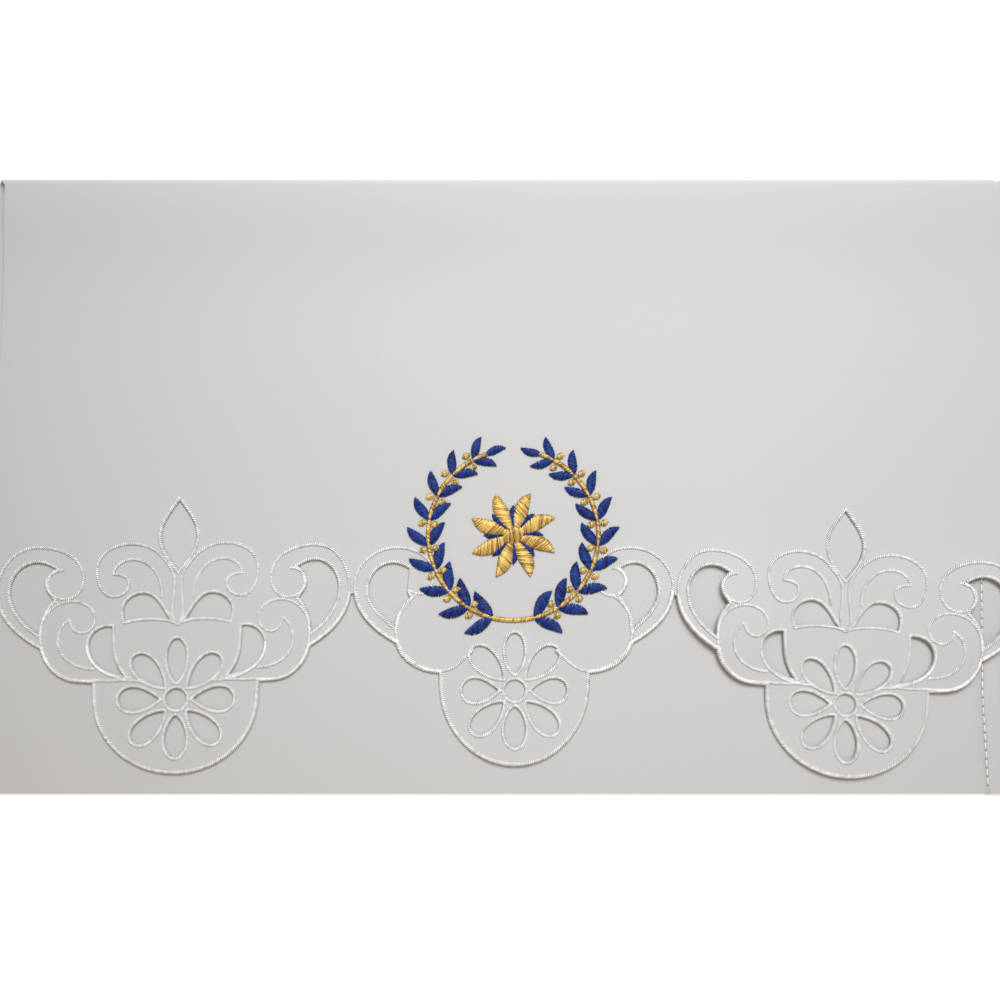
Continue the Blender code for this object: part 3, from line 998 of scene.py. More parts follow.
@dataclass(frozen=True)
class TwillWeave(Effect):
    """Diagonal twill lines crossed by the threads' own beat, as height and as painted shade: lighter on the
    raised lines, darker between them.

    slope is the lines' rise for each step to the right, and yarn_share the yarns' pitch as a share
    of the lines' pitch. yarn_weight is the yarns' height as a share of the lines' height.
    """

    NAME: ClassVar[str] = "twill_weave"
    INPUTS: ClassVar[dict[str, object]] = {
        "Place": (0.0, 0.0, 0.0), "Line Pitch": 0.00075, "Waver": 0.00012
    }
    OUTPUTS: ClassVar[tuple[str, ...]] = ("Height", "Tint")
    slope: float = 0.9
    yarn_share: float = 0.62
    yarn_weight: float = 0.28
    drift_scale: float = 900.0
    blotch_scale: float = 260.0
    blotch_span: tuple[float, ...] = (0.3, 0.7, 0.45, 1.0)
    twill_shade_span: tuple[float, ...] = (-1.2, 1.2, 0.0, 1.0)

    def wire(self, canvas: NodeCanvas, *inputs: NodeSocket) -> tuple[NodeSocket, ...]:
        """Place the weave's nodes.

        Args:
            canvas: The group's nodes.
            *inputs: Place, Line Pitch and Waver.

        Returns:
            Height and Tint.
        """
        place, pitch, waver = inputs
        x, y = canvas.parts(place)
        drift = canvas.math("SUBTRACT", canvas.noise(place, self.drift_scale, 2.0), 0.5)
        level = canvas.math("SUBTRACT", y, canvas.math("MULTIPLY", x, self.slope))
        level = canvas.math("ADD", level, canvas.math("MULTIPLY", drift, waver))
        across = canvas.math("DIVIDE", level, canvas.math("MULTIPLY", pitch, math.hypot(1.0, self.slope)))
        lines = canvas.math("SINE", canvas.math("MULTIPLY", across, 2 * math.pi))
        beat = canvas.math("DIVIDE", x, canvas.math("MULTIPLY", pitch, self.yarn_share))
        yarns = canvas.math("SINE", canvas.math("MULTIPLY", beat, 2 * math.pi))
        wave = canvas.math("MULTIPLY_ADD", yarns, self.yarn_weight, lines)
        show = canvas.span(canvas.noise(place, self.blotch_scale, 3.0), *self.blotch_span)
        height = canvas.math("MULTIPLY", wave, show)
        # Painted shade that follows the lines' height: lighter on them, darker between them.
        return height, canvas.span(height, *self.twill_shade_span)


@dataclass(frozen=True)
class ThreadFibre(Effect):
    """Fine fibres along a thread, as height, and a mask of painted sparkle from strand to strand and
    painted shade towards each stitch's ends.

    The strand map's first number is each strand's painted sparkle, and its second runs along the strand.
    """

    NAME: ClassVar[str] = "thread_fibre"
    INPUTS: ClassVar[dict[str, object]] = {
        "Place": (0.0, 0.0, 0.0), "Strand": (0.5, 0.5, 0.0), "Fineness": 9000.0
    }
    OUTPUTS: ClassVar[tuple[str, ...]] = ("Height", "Mask")
    sparkle_scale: float = 1400.0
    sparkle_weight: float = 0.5
    shade_weight: float = 0.65
    foot_shade_span: tuple[float, ...] = (0.25, 0.5, 1.0, 0.55)
    shade_span: tuple[float, ...] = (0.2, 0.75, 0.0, 1.0)

    def wire(self, canvas: NodeCanvas, *inputs: NodeSocket) -> tuple[NodeSocket, ...]:
        """Place the fibres' nodes.

        Args:
            canvas: The group's nodes.
            *inputs: Place, Strand and Fineness.

        Returns:
            Height and Mask.
        """
        place, strand, fineness = inputs
        own, along = canvas.parts(strand)
        foot = canvas.math("ABSOLUTE", canvas.math("SUBTRACT", along, 0.5))
        # Painted shade: the mask falls towards each stitch's ends, where the stitch meets the cloth.
        body = canvas.span(foot, *self.foot_shade_span)
        # Painted sparkle: fine specks and each strand's random value pick between the lit and shaded
        # colours.
        sparkle = canvas.noise(place, self.sparkle_scale, 3.0, "3D")
        shade = canvas.math("MULTIPLY", sparkle, self.sparkle_weight)
        shade = canvas.math("MULTIPLY_ADD", own, self.shade_weight, shade)
        mask = canvas.math("MULTIPLY", canvas.span(shade, *self.shade_span), body)
        return canvas.noise(place, fineness, 2.0, "3D"), mask


@dataclass(frozen=True)
class NeedlePulls(Effect):
    """Small sunk places between a seam's stitches, as height and as a mask of painted shade in them and,
    weaker, along the seam line.

    Its inputs are the seam's map, pitch, each stitch's share of the pitch, and the pulls' width.
    """

    NAME: ClassVar[str] = "needle_pulls"
    INPUTS: ClassVar[dict[str, object]] = {
        "Place": (0.0, 0.0, 0.0),
        "Pitch": HEM_SEAM.pitch * MM,
        "Stitch Share": HEM_SEAM.length / HEM_SEAM.pitch,
        "Width": 0.0006,
    }
    OUTPUTS: ClassVar[tuple[str, ...]] = ("Mask", "Height")
    near_span: tuple[float, ...] = (0.0, 1.0, 1.0, 0.0)
    sunk_span: tuple[float, ...] = (0.2, 1.0, 1.0, 0.0)
    groove_shade_span: tuple[float, ...] = (0.3, 2.0, 1.0, 0.0)
    groove_shade_weight: float = 0.25

    def wire(self, canvas: NodeCanvas, *inputs: NodeSocket) -> tuple[NodeSocket, ...]:
        """Place the pulls' nodes.

        Args:
            canvas: The group's nodes.
            *inputs: Place, Pitch, Stitch Share and Width.

        Returns:
            Mask and Height.
        """
        place, pitch, share, width = inputs
        x, y = canvas.parts(place)
        hole = canvas.math("MULTIPLY", canvas.math("ADD", share, 1.0), 0.5)
        from_hole = canvas.math("SUBTRACT", canvas.math("FRACT", canvas.math("DIVIDE", y, pitch)), hole)
        along = canvas.math("MULTIPLY", canvas.math("ABSOLUTE", from_hole), pitch)
        aside = canvas.math("DIVIDE", canvas.math("ABSOLUTE", x), width)
        near = canvas.span(aside, *self.near_span)
        sunk = canvas.span(canvas.math("DIVIDE", along, width), *self.sunk_span)
        # Painted shade along the seam line. Only the pulls themselves sink in height.
        groove_shade = canvas.span(aside, *self.groove_shade_span)
        pull = canvas.math("MULTIPLY", near, sunk)
        # The mask paints shade in the needle pulls and, weaker, along the seam line.
        mask = canvas.math("MULTIPLY_ADD", groove_shade, self.groove_shade_weight, pull)
        return mask, canvas.math("MULTIPLY", pull, -1.0)


@dataclass(frozen=True)
class TwillFinish:
    """The white twill's look: high is its colour on the raised lines, low the painted shade between them,
    and sunk the painted shade in the needle pulls.
    """

    name: str
    # high and low: the twill on its raised lines, and the painted shade between them.
    high: tuple[float, float, float]
    low: tuple[float, float, float]
    # sunk: the painted shade colour in the needle pulls and along the seam line.
    sunk: tuple[float, float, float]
    roughness: float = 0.82
    relief: float = 0.22
    relief_depth: float = 0.00012
    pull_depth: float = 3.0
    sheen: float = 0.12
    sheen_roughness: float = 0.5
    specular: float = 0.25

    def material(self, weave: NodeTree, pulls: NodeTree) -> Material:
        """Make the cloth's material.

        Args:
            weave: The twill weave group.
            pulls: The needle pulls group.

        Returns:
            The material.
        """
        coat = Coat(self.name, {
            "Roughness": self.roughness,
            "Sheen Weight": self.sheen,
            "Sheen Roughness": self.sheen_roughness,
            "Specular IOR Level": self.specular,
        })
        lines = coat.effect(weave, coat.places("weave"))
        holes = coat.effect(pulls, coat.places("hem"))
        # Painted shade between the twill lines.
        plain = coat.blend(lines.outputs["Tint"], self.low, self.high)
        # Painted shade in the needle pulls and along the seam line.
        colour = coat.blend(holes.outputs["Mask"], plain, self.sunk)
        coat.join(colour, coat.shader.inputs["Base Color"])
        pull = holes.outputs["Height"]
        height = coat.math("MULTIPLY_ADD", pull, self.pull_depth, lines.outputs["Height"])
        coat.emboss(height, self.relief, self.relief_depth)
        return coat.material


@dataclass(frozen=True)
class ThreadFinish:
    """The look of one embroidery thread, with painted sparkle and painted shade. Its fibres' height in
    rough_from sets the roughness.
    """

    name: str
    # The thread's colour runs from shade_colour, a painted shade, to lit_colour, a painted highlight.
    lit_colour: tuple[float, float, float]
    shade_colour: tuple[float, float, float]
    rough_low: float
    rough_high: float
    rough_from: tuple[float, float] = (0.3, 0.7)
    specular: float = 0.5
    metallic: float = 0.0
    relief: float = 0.3
    relief_depth: float = 0.00005

    def material(self, fibre: NodeTree) -> Material:
        """Make the thread's material.

        Args:
            fibre: The thread fibre group.

        Returns:
            The material.
        """
        coat = Coat(self.name, {"Metallic": self.metallic, "Specular IOR Level": self.specular})
        place = coat.add("ShaderNodeTexCoord").outputs["Object"]
        strands = coat.effect(fibre, place, coat.places("strand"))
        height = strands.outputs["Height"]
        # Painted sparkle and shade: each strand's colour lies between shade_colour and lit_colour.
        colour = coat.blend(strands.outputs["Mask"], self.shade_colour, self.lit_colour)
        coat.join(colour, coat.shader.inputs["Base Color"])
        rough = coat.span(height, *self.rough_from, self.rough_low, self.rough_high)
        coat.join(rough, coat.shader.inputs["Roughness"])
        coat.emboss(height, self.relief, self.relief_depth)
        return coat.material


# The twill on its raised lines, its painted shade between them, and the painted shade in the needle pulls.
WHITE_TWILL = TwillFinish(
    "white_twill", high=(0.607, 0.603, 0.598), low=(0.517, 0.513, 0.508), sunk=(0.27, 0.26, 0.25)
)
# Each thread's lit colour and shaded colour are painted sparkle and painted shade.
WHITE_THREAD = ThreadFinish(
    "white_thread", (1.0, 1.0, 0.985), (0.72, 0.72, 0.70), rough_low=0.22, rough_high=0.42, specular=0.65
)
BLUE_THREAD = ThreadFinish(
    "blue_thread", (0.012, 0.05, 0.285), (0.002, 0.007, 0.06), rough_low=0.3, rough_high=0.5, specular=0.35
)
GOLD_THREAD = ThreadFinish(
    "gold_thread", (0.98, 0.70, 0.22), (0.33, 0.16, 0.022), rough_low=0.25, rough_high=0.45, metallic=0.4
)


@dataclass
class Finishes:
    """The materials of the cloth and its threads."""

    twill: Material = field(init=False)
    white: Material = field(init=False)
    blue: Material = field(init=False)
    gold: Material = field(init=False)

    def __post_init__(self) -> None:
        """Build the groups and the materials."""
        weave = TwillWeave().build()
        fibre = ThreadFibre().build()
        self.twill = WHITE_TWILL.material(weave, NeedlePulls().build())
        self.white = WHITE_THREAD.material(fibre)
        self.blue = BLUE_THREAD.material(fibre)
        self.gold = GOLD_THREAD.material(fibre)


@dataclass
class ThreadMesh:
    """Gathers stitches and thread lengths, and joins them into one piece."""

    shape: ClothShape
    vertices: list[np.ndarray] = field(default_factory=list)
    faces: list[np.ndarray] = field(default_factory=list)
    strands: list[np.ndarray] = field(default_factory=list)
    count: int = 0

    def add_tubes(self, centre: np.ndarray, side: np.ndarray, lift: np.ndarray, shades: np.ndarray) -> None:
        """Add closed tubes with a four-cornered section.

        Args:
            centre: Middle points, shaped tubes by stations by 3.
            side: Half of each section's breadth, in the same shape.
            lift: Half of each section's height, in the same shape.
            shades: Each tube's painted sparkle from 0 to 1, from its shaded colour to its lit colour.
        """
        tubes, stations = centre.shape[:2]
        strand = np.empty((tubes, stations, CORNERS, 2))
        strand[..., 0] = shades[:, None, None]
        strand[..., 1] = np.linspace(0.0, 1.0, stations)[None, :, None]
        self.strands.append(strand.reshape(-1, 2))
        ring = np.stack((centre - side, centre + lift, centre + side, centre - lift), axis=2)
        corner = np.arange(CORNERS)
        base = self.count + np.arange(tubes)[:, None, None] * stations * CORNERS
        along = base + np.arange(stations - 1)[None, :, None] * CORNERS
        here = along + corner
        there = along + (corner + 1) % CORNERS
        quads = np.stack((here, there, there + CORNERS, here + CORNERS), axis=-1).reshape(-1, CORNERS)
        first = base[:, 0] + corner[::-1]
        last = base[:, 0] + (stations - 1) * CORNERS + corner
        self.vertices.append(ring.reshape(-1, 3))
        self.faces.append(np.vstack((quads, first, last)))
        self.count += tubes * stations * CORNERS

    def add_satin(self, points: np.ndarray, widths: np.ndarray, stitch: Stitch, rng: np.random.Generator,
                  wrap: Wrap = Wrap.NONE, shown: np.ndarray | None = None) -> None:
        """Lay satin stitches across a line.

        Args:
            points: Evenly spaced points of the line, one for each stitch.
            widths: The line's width at each point.
            stitch: How the stitches lie.
            rng: Source of the small unevenness.
            wrap: Which side goes over a cut edge.
            shown: Which stitches are laid, all of them where it is left out.
        """
        tangent = np.gradient(points, axis=0)
        tangent /= np.maximum(np.linalg.norm(tangent, axis=1), TINY)[:, None]
        number = len(points)
        lean = np.radians(stitch.slant + rng.normal(0.0, stitch.lean_noise, number))[:, None]
        across = quarter_turned(tangent) * np.cos(lean) + tangent * np.sin(lean)
        reach = (widths / 2 + rng.normal(0.0, stitch.reach_noise, number))[:, None] / np.cos(lean)
        share = np.sin(np.linspace(-math.pi / 2, math.pi / 2, stitch.stations))[None, :]
        plan = points[:, None, :] + across[:, None, :] * (share * reach)[..., None]
        crown = stitch.crown * (1 + rng.normal(0.0, stitch.crown_noise, number))
        arch = np.sqrt(np.maximum(0.0, 1 - share**2)) * crown[:, None]
        drop = np.clip(share * wrap.value, 0.0, 1.0) ** stitch.drop_power * stitch.drop
        base = self.shape.top(points[:, 0], points[:, 1])[:, None]
        if wrap is Wrap.NONE:
            base = self.shape.top(plan[..., 0], plan[..., 1])
        centre = np.concatenate((plan, (base + stitch.floor + arch - drop)[..., None]), axis=2)
        taper = 1 - stitch.tip_taper * np.abs(share[0]) ** 3
        half = stitch.pitch * stitch.fill * math.cos(math.radians(stitch.slant)) * taper
        side = np.zeros_like(centre)
        side[..., :2] = -quarter_turned(across)[:, None, :] * half[None, :, None]
        lift = np.zeros_like(centre)
        lift[..., 2] = stitch.relief * taper
        # Painted sparkle: a random shade for each stitch.
        shades = rng.random(number)
        kept = slice(None) if shown is None else shown
        self.add_tubes(centre[kept], side[kept], lift[kept], shades[kept])

    def piece(self, name: str, material: Material, slot: str, *nodes: str) -> Object:
        """Join everything gathered into one object that rides on the cloth.

        Args:
            name: The piece's name.
            material: Its material.
            slot: Not used.
            *nodes: Solids that it replaces.

        Returns:
            The object.
        """
        vertices = self.shape.to_frame(np.vstack(self.vertices))
        made = new_object(name, vertices, np.vstack(self.faces))
        made.data.materials.append(material)
        add_map(made, "strand", np.vstack(self.strands))
        finish_piece(made, slot, *nodes)
        return made


def finish_piece(piece: Object, slot: str, *nodes: str) -> None:
    """Let a piece ride on the cloth and stand for its solids.

    Args:
        piece: The finished piece.
        slot: Not used.
        *nodes: Solids that it replaces.
    """
    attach(piece, BODY)
    if nodes:
        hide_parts(*nodes)
    faces = sum(len(polygon.vertices) - 2 for polygon in piece.data.polygons)
    log.info("%s: %d triangles", piece.name, faces)


@dataclass
class AltarCloth:
    """The twill itself: one folded sheet with its cut edge, openings and hem.

    The mesh's inner points lie in rows, row_share of a step apart and clear of every edge.
    """

    shape: ClothShape
    motifs: tuple[Motif, ...]
    field_front: float = -106.0
    field_step: float = 3.2
    lower_step: float = 6.0
    row_share: float = 0.87
    row_margin: float = 2.0
    fold_margin: float = 3.0
    rim_clearance: float = 0.9
    side_step: float = 3.0
    front_steps: int = 60
    fold_steps: int = 16
    fold_step: float = 8.0
    side_margin: float = 1.0
    cut_inset: float = 0.3
    cleft_rise: float = -0.4
    merge_gap: float = 1e-5
    crease: float = 50.0
    block: int = 500

    def scalloped_edge(self) -> np.ndarray:
        """The free edge from the cloth's left side to its right side.

        Returns:
            Its points in the cloth's plan.
        """
        parts = []
        for motif in self.motifs:
            edge = motif.free_edge()
            if parts:
                parts.append((parts[-1][-1:] + edge[:1]) / 2 + (0.0, self.cleft_rise))
            parts.append(edge)
        return np.vstack(parts)

    def places(self, start: float) -> np.ndarray:
        """Pattern places down a side edge.

        Args:
            start: Place of the side's front end on the upper layer.

        Returns:
            Places over the upper layer, round the fold and along the lower layer.
        """
        shape = self.shape
        turned = shape.turned
        upper = np.linspace(start, shape.back, round((shape.back - start) / self.side_step))
        fold = np.linspace(shape.back, turned, self.fold_steps + 1)[1:-1]
        lower = np.linspace(turned, shape.end, round((shape.end - turned) / self.lower_step))
        return np.concatenate((upper, fold, lower))

    def outline(self) -> np.ndarray:
        """Closed outline of the flat pattern.

        Returns:
            Its points, the first not repeated.
        """
        edge = self.scalloped_edge()
        right = self.places(edge[-1, 1] + SHOULDER)
        left = self.places(edge[0, 1] + SHOULDER)[::-1]
        shape = self.shape
        ends = np.linspace(shape.right_x(shape.end), shape.left_x(shape.end), self.front_steps)[1:-1]
        return np.vstack((
            edge,
            np.column_stack((shape.right_x(right), right)),
            np.column_stack((ends, np.full_like(ends, shape.end))),
            np.column_stack((shape.left_x(left), left)),
        ))

    def lines(self) -> list[np.ndarray]:
        """Inner lines that the mesh follows: the hem's fold and the back fold's rows.

        Returns:
            The lines, the hem's two first.
        """
        shape = self.shape
        hem = self.places(self.scalloped_edge()[-1, 1] + SHOULDER)
        found = [
            np.column_stack((shape.right_x(hem) - shape.hem_width + offset, hem))
            for offset in (0.0, shape.hem_step)
        ]
        for v in np.linspace(shape.back, shape.turned, self.fold_steps + 1):
            low = float(shape.left_x(v)) + self.side_margin
            high = float(shape.right_x(v)) - shape.hem_width - self.side_margin
            x = np.arange(low, high, self.fold_step)
            found.append(np.column_stack((x, np.full_like(x, v))))
        return found

    def on_cloth(self, points: np.ndarray, loops: list[np.ndarray]) -> np.ndarray:
        """Which points lie in the outline, the first loop, and in no opening.

        Args:
            points: Points to test.
            loops: The outline and the openings.

        Returns:
            One truth value a point.
        """
        kept = inside(points, loops[0])
        for loop in loops[1:]:
            kept &= ~inside(points, loop)
        return kept

    def field(self, loops: list[np.ndarray]) -> np.ndarray:
        """Mesh points of the open cloth.

        Args:
            loops: The outline and the openings.

        Returns:
            Points clear of every edge.
        """
        shape = self.shape
        grids = []
        spans = (
            (self.field_front, shape.back - self.row_margin, self.field_step),
            (shape.turned + self.fold_margin, shape.end - self.row_margin, self.lower_step),
        )
        for low, high, step in spans:
            rows = np.arange(low, high, step * self.row_share)
            columns = np.arange(shape.lower_left.front, shape.upper_right.front, step)
            x, v = np.meshgrid(columns, rows)
            x[1::2] += step / 2
            grids.append(np.column_stack((x.ravel(), v.ravel())))
        points = np.vstack(grids)
        points = points[self.on_cloth(points, loops)]
        rim = np.vstack(loops + self.lines()[:2])
        gaps = [
            np.linalg.norm(points[start:start + self.block, None] - rim[None], axis=2).min(axis=1)
            for start in range(0, len(points), self.block)
        ]
        return points[np.concatenate(gaps) > self.rim_clearance]

    def triangles(self) -> tuple[np.ndarray, np.ndarray]:
        """Plan of the cloth in triangles.

        Returns:
            The plan's points, and rows of three point numbers.
        """
        loops = [self.outline()]
        for motif in self.motifs:
            loops += [inset(loop, self.cut_inset) for loop in motif.opening_loops()]
        points = []
        edges = []
        for index, path in enumerate(loops + self.lines()):
            first = len(points)
            points += [Vector(point) for point in path]
            edges += [(i, i + 1) for i in range(first, len(points) - 1)]
            if index < len(loops):
                edges.append((len(points) - 1, first))
        points += [Vector(point) for point in self.field(loops)]
        found = delaunay_2d_cdt(points, edges, [], 1, self.merge_gap)
        plan = np.array([tuple(point) for point in found[0]])
        faces = np.array([tuple(face) for face in found[2]])
        return plan, faces[self.on_cloth(plan[faces].mean(axis=1), loops)]

    def build(self, material: Material) -> Object:
        """Make the cloth's piece.

        Args:
            material: The twill's material.

        Returns:
            The object.
        """
        plan, faces = self.triangles()
        used, faces = np.unique(faces, return_inverse=True)
        faces = faces.reshape(-1, 3)
        plan = plan[used]
        top, bottom = self.shape.skins(plan[:, 0], plan[:, 1])
        number = len(plan)
        sides = np.vstack((faces[:, (0, 1)], faces[:, (1, 2)], faces[:, (2, 0)]))
        codes = sides[:, 0] * number + sides[:, 1]
        reverse = sides[:, 1] * number + sides[:, 0]
        free = sides[~np.isin(codes, reverse)]
        walls = np.column_stack((free[:, 1], free[:, 0], free[:, 0] + number, free[:, 1] + number))
        rows = faces.tolist() + (faces[:, ::-1] + number).tolist() + walls.tolist()
        piece = new_object("folded_twill", self.shape.to_frame(np.vstack((top, bottom))), rows)
        piece.data.set_sharp_from_angle(angle=math.radians(self.crease))
        add_map(piece, "weave", np.vstack((plan, plan)) * MM)
        past_seam = plan[:, 0] - HEM_SEAM.x(self.shape, plan[:, 1])
        from_seam = np.column_stack((past_seam, plan[:, 1] - HEM_SEAM.first))
        add_map(piece, "hem", np.vstack((from_seam, from_seam)) * MM)
        piece.data.materials.append(material)
        finish_piece(piece, "white_twill", "altar_cloth")
        length = self.shape.end - float(self.scalloped_edge()[:, 1].min())
        self.area()
        return piece

    def area(self) -> float:
        """The cut cloth's flat area.

        Returns:
            Square metres, without the openings.
        """
        total = abs(signed_area(self.outline()))
        for motif in self.motifs:
            for loop in motif.opening_loops():
                total -= abs(signed_area(loop))
        return total * MM * MM


@dataclass
class SatinEdging:
    """The white satin stitching of one motif."""

    shape: ClothShape
    motif: Motif
    wreath: "Wreath"
    seed: int
    end: End = End.NONE

    def plain_end(self) -> list[SatinLine]:
        """The straight line from an outermost cleft to the cloth's side edge.

        Returns:
            One line at a side edge, and none elsewhere.
        """
        if self.end is End.NONE:
            return []
        edge = self.motif.free_edge()
        tip = edge[-1] if self.end is End.RIGHT else edge[0]
        v = float(tip[1]) + SHOULDER
        side = self.shape.right_x(v) if self.end is End.RIGHT else self.shape.left_x(v)
        line = np.array((tip, (float(side), v)))
        if self.end is End.LEFT:
            line = line[::-1]
        return [SatinLine(line, EDGE_STITCH, Wrap.RIGHT)]

    def build(self, material: Material) -> Object:
        """Make the motif's satin stitches.

        Args:
            material: The white thread's material.

        Returns:
            The object.
        """
        rng = np.random.default_rng(self.seed)
        threads = ThreadMesh(self.shape)
        for line in self.motif.satin() + self.plain_end():
            points = even(line.points, line.stitch.pitch)
            widths = np.full(len(points), line.stitch.width)
            threads.add_satin(points, widths, line.stitch, rng, line.wrap, ~self.wreath.covers(points))
        return threads.piece(f"satin_{self.motif.name}", material, "white_twill")


@dataclass
class Wreath:
    """A round wreath of satin leaves on a gold stem, with a rosette in its middle.

    Its headings count from the middle. bottom is the heading of the stem's lowest point, and reach
    is how far each branch goes from there, in degrees. A leaf's spine runs between spine_ends, as
    shares of its length.
    """

    shape: ClothShape
    x: float = 4.8
    y: float = -17.0
    radius: float = 30.5
    bottom: float = -90.0
    reach: float = 162.0
    stem_points: int = 400
    leaf_pairs: int = 9
    leaf_first: float = 14.0
    leaf_spacing: float = 17.2
    leaf_lean: float = 42.0
    leaf_length: float = 11.5
    leaf_width: float = 4.4
    leaf_taper: float = 0.03
    leaf_bend: float = 0.05
    leaf_fullness: float = 0.8
    least_width: float = 0.45
    spine_ends: tuple[float, float] = (0.02, 0.98)
    tip_share: float = 0.7
    petals: int = 8
    petal_size: tuple[float, float] = (14.5, 5.6)
    petal_root: float = 1.5
    bud_root: float = 3.0
    bud_size: tuple[float, float] = (7.6, 2.6)
    bud_crown: float = 0.6
    heart: float = 3.6
    heart_crown: float = 1.3
    berry: float = 1.25
    berry_reach: float = 2.4
    berry_place: float = 0.86
    dot_end: float = 0.96
    dot_lean: float = 0.3
    least_stitches: int = 5
    cover_trim: float = 0.15
    leaf_seed: int = 31
    gold_seed: int = 47

    def spot(self, angle: float, reach: float) -> np.ndarray:
        """A place on the cloth at a heading and a reach from the wreath's middle."""
        return np.array((self.x, self.y)) + heading(angle) * reach

    def leaf_line(self, start: np.ndarray, angle: float, length: float, width: float
                  ) -> tuple[np.ndarray, np.ndarray]:
        """A leaf's bent spine.

        Args:
            start: The leaf's foot.
            angle: Its heading in degrees.
            length: Its length.
            width: Its greatest width.

        Returns:
            The spine's points and the leaf's width at each.
        """
        share = np.linspace(*self.spine_ends, round(length / LEAF_STITCH.pitch))
        swell = np.sin(np.pi * share)
        bend = self.leaf_bend * length * swell
        spoke = heading(angle)
        points = start + spoke * (share * length)[:, None] + quarter_turned(spoke) * bend[:, None]
        return points, np.maximum(self.least_width, width * swell**self.leaf_fullness)

    def leaf_rows(self) -> list[tuple[np.ndarray, float, float, float]]:
        """Foot, heading, length and width of each leaf on the stem.

        Returns:
            One row a leaf.
        """
        rows = []
        for side in (-1, 1):
            for pair in range(self.leaf_pairs):
                angle = self.bottom + side * (self.leaf_first + self.leaf_spacing * pair)
                size = 1.0 - self.leaf_taper * pair
                length, width = self.leaf_length * size, self.leaf_width * size
                for lean in (-self.leaf_lean, self.leaf_lean):
                    rows.append((self.spot(angle, self.radius), angle + side * 90 + lean, length, width))
            tip = self.bottom + side * self.reach
            onward = tip + side * 90
            start = self.spot(tip, self.radius) - heading(onward)
            length, width = self.leaf_length * self.tip_share, self.leaf_width * self.tip_share
            rows.append((start, onward, length, width))
        return rows

    def covers(self, points: np.ndarray) -> np.ndarray:
        """Which points of the cloth lie under the wreath's leaves or stem.

        Args:
            points: Points in the cloth's plan.

        Returns:
            One truth value a point.
        """
        out = points - (self.x, self.y)
        turn = np.degrees(np.arctan2(out[:, 1], out[:, 0]))
        from_bottom = np.abs((turn - self.bottom + 180) % 360 - 180)
        from_stem = np.abs(np.linalg.norm(out, axis=1) - self.radius)
        hidden = (from_stem < STEM_STITCH.width / 2 - self.cover_trim) & (from_bottom < self.reach)
        for row in self.leaf_rows():
            spine, widths = self.leaf_line(*row)
            gap = np.linalg.norm(points[:, None, :] - spine[None], axis=2)
            hidden |= np.any(gap < widths / 2 - self.cover_trim, axis=1)
        return hidden

    def leaves(self, material: Material) -> Object:
        """Make the blue leaves of both branches and the blue buds of the rosette.

        Args:
            material: The blue thread's material.

        Returns:
            The object.
        """
        rng = np.random.default_rng(self.leaf_seed)
        threads = ThreadMesh(self.shape)
        for row in self.leaf_rows():
            threads.add_satin(*self.leaf_line(*row), LEAF_STITCH, rng)
        bud = replace(LEAF_STITCH, crown=self.bud_crown)
        for index in range(self.petals):
            angle = 360 * index / self.petals
            spine = self.leaf_line(self.spot(angle, self.bud_root), angle, *self.bud_size)
            threads.add_satin(*spine, bud, rng)
        return threads.piece("wreath_leaves", material, "blue_thread", "leaf_wreath")

    def gold(self, material: Material) -> Object:
        """Make the gold stem, berries and rosette.

        Args:
            material: The gold thread's material.

        Returns:
            The object.
        """
        rng = np.random.default_rng(self.gold_seed)
        threads = ThreadMesh(self.shape)
        ends = (self.bottom - self.reach, self.bottom + self.reach)
        bends = np.radians(np.linspace(*ends, self.stem_points))
        stem = (self.x, self.y) + self.radius * np.column_stack((np.cos(bends), np.sin(bends)))
        stem = even(stem, STEM_STITCH.pitch)
        threads.add_satin(stem, np.full(len(stem), STEM_STITCH.width), STEM_STITCH, rng)
        for side in (-1, 1):
            for pair in range(self.leaf_pairs - 1):
                place = self.leaf_first + self.leaf_spacing * (pair + self.berry_place)
                for reach in (self.radius - self.berry_reach, self.radius + self.berry_reach):
                    middle = self.spot(self.bottom + side * place, reach)
                    self.dot(threads, rng, middle, self.berry, DOT_STITCH.crown)
        for index in range(self.petals):
            angle = 360 * (index + 0.5) / self.petals
            spine = self.leaf_line(self.spot(angle, self.petal_root), angle, *self.petal_size)
            threads.add_satin(*spine, LEAF_STITCH, rng)
        self.dot(threads, rng, self.spot(0.0, 0.0), self.heart, self.heart_crown)
        return threads.piece("wreath_gold", material, "gold_thread", "rosette")

    def dot(self, threads: ThreadMesh, rng: np.random.Generator, middle: np.ndarray, radius: float,
            crown: float) -> None:
        """Lay a round satin dot.

        Args:
            threads: Where the stitches go.
            rng: Source of the small unevenness.
            middle: The dot's middle.
            radius: Its radius.
            crown: Height of its middle over the cloth.
        """
        count = max(self.least_stitches, round(2 * radius / DOT_STITCH.pitch))
        share = np.linspace(-self.dot_end, self.dot_end, count)
        points = middle + np.column_stack((share * radius, share * radius * self.dot_lean))
        dome = np.sqrt(1 - share**2)
        threads.add_satin(points, 2 * radius * dome, replace(DOT_STITCH, crown=crown), rng)


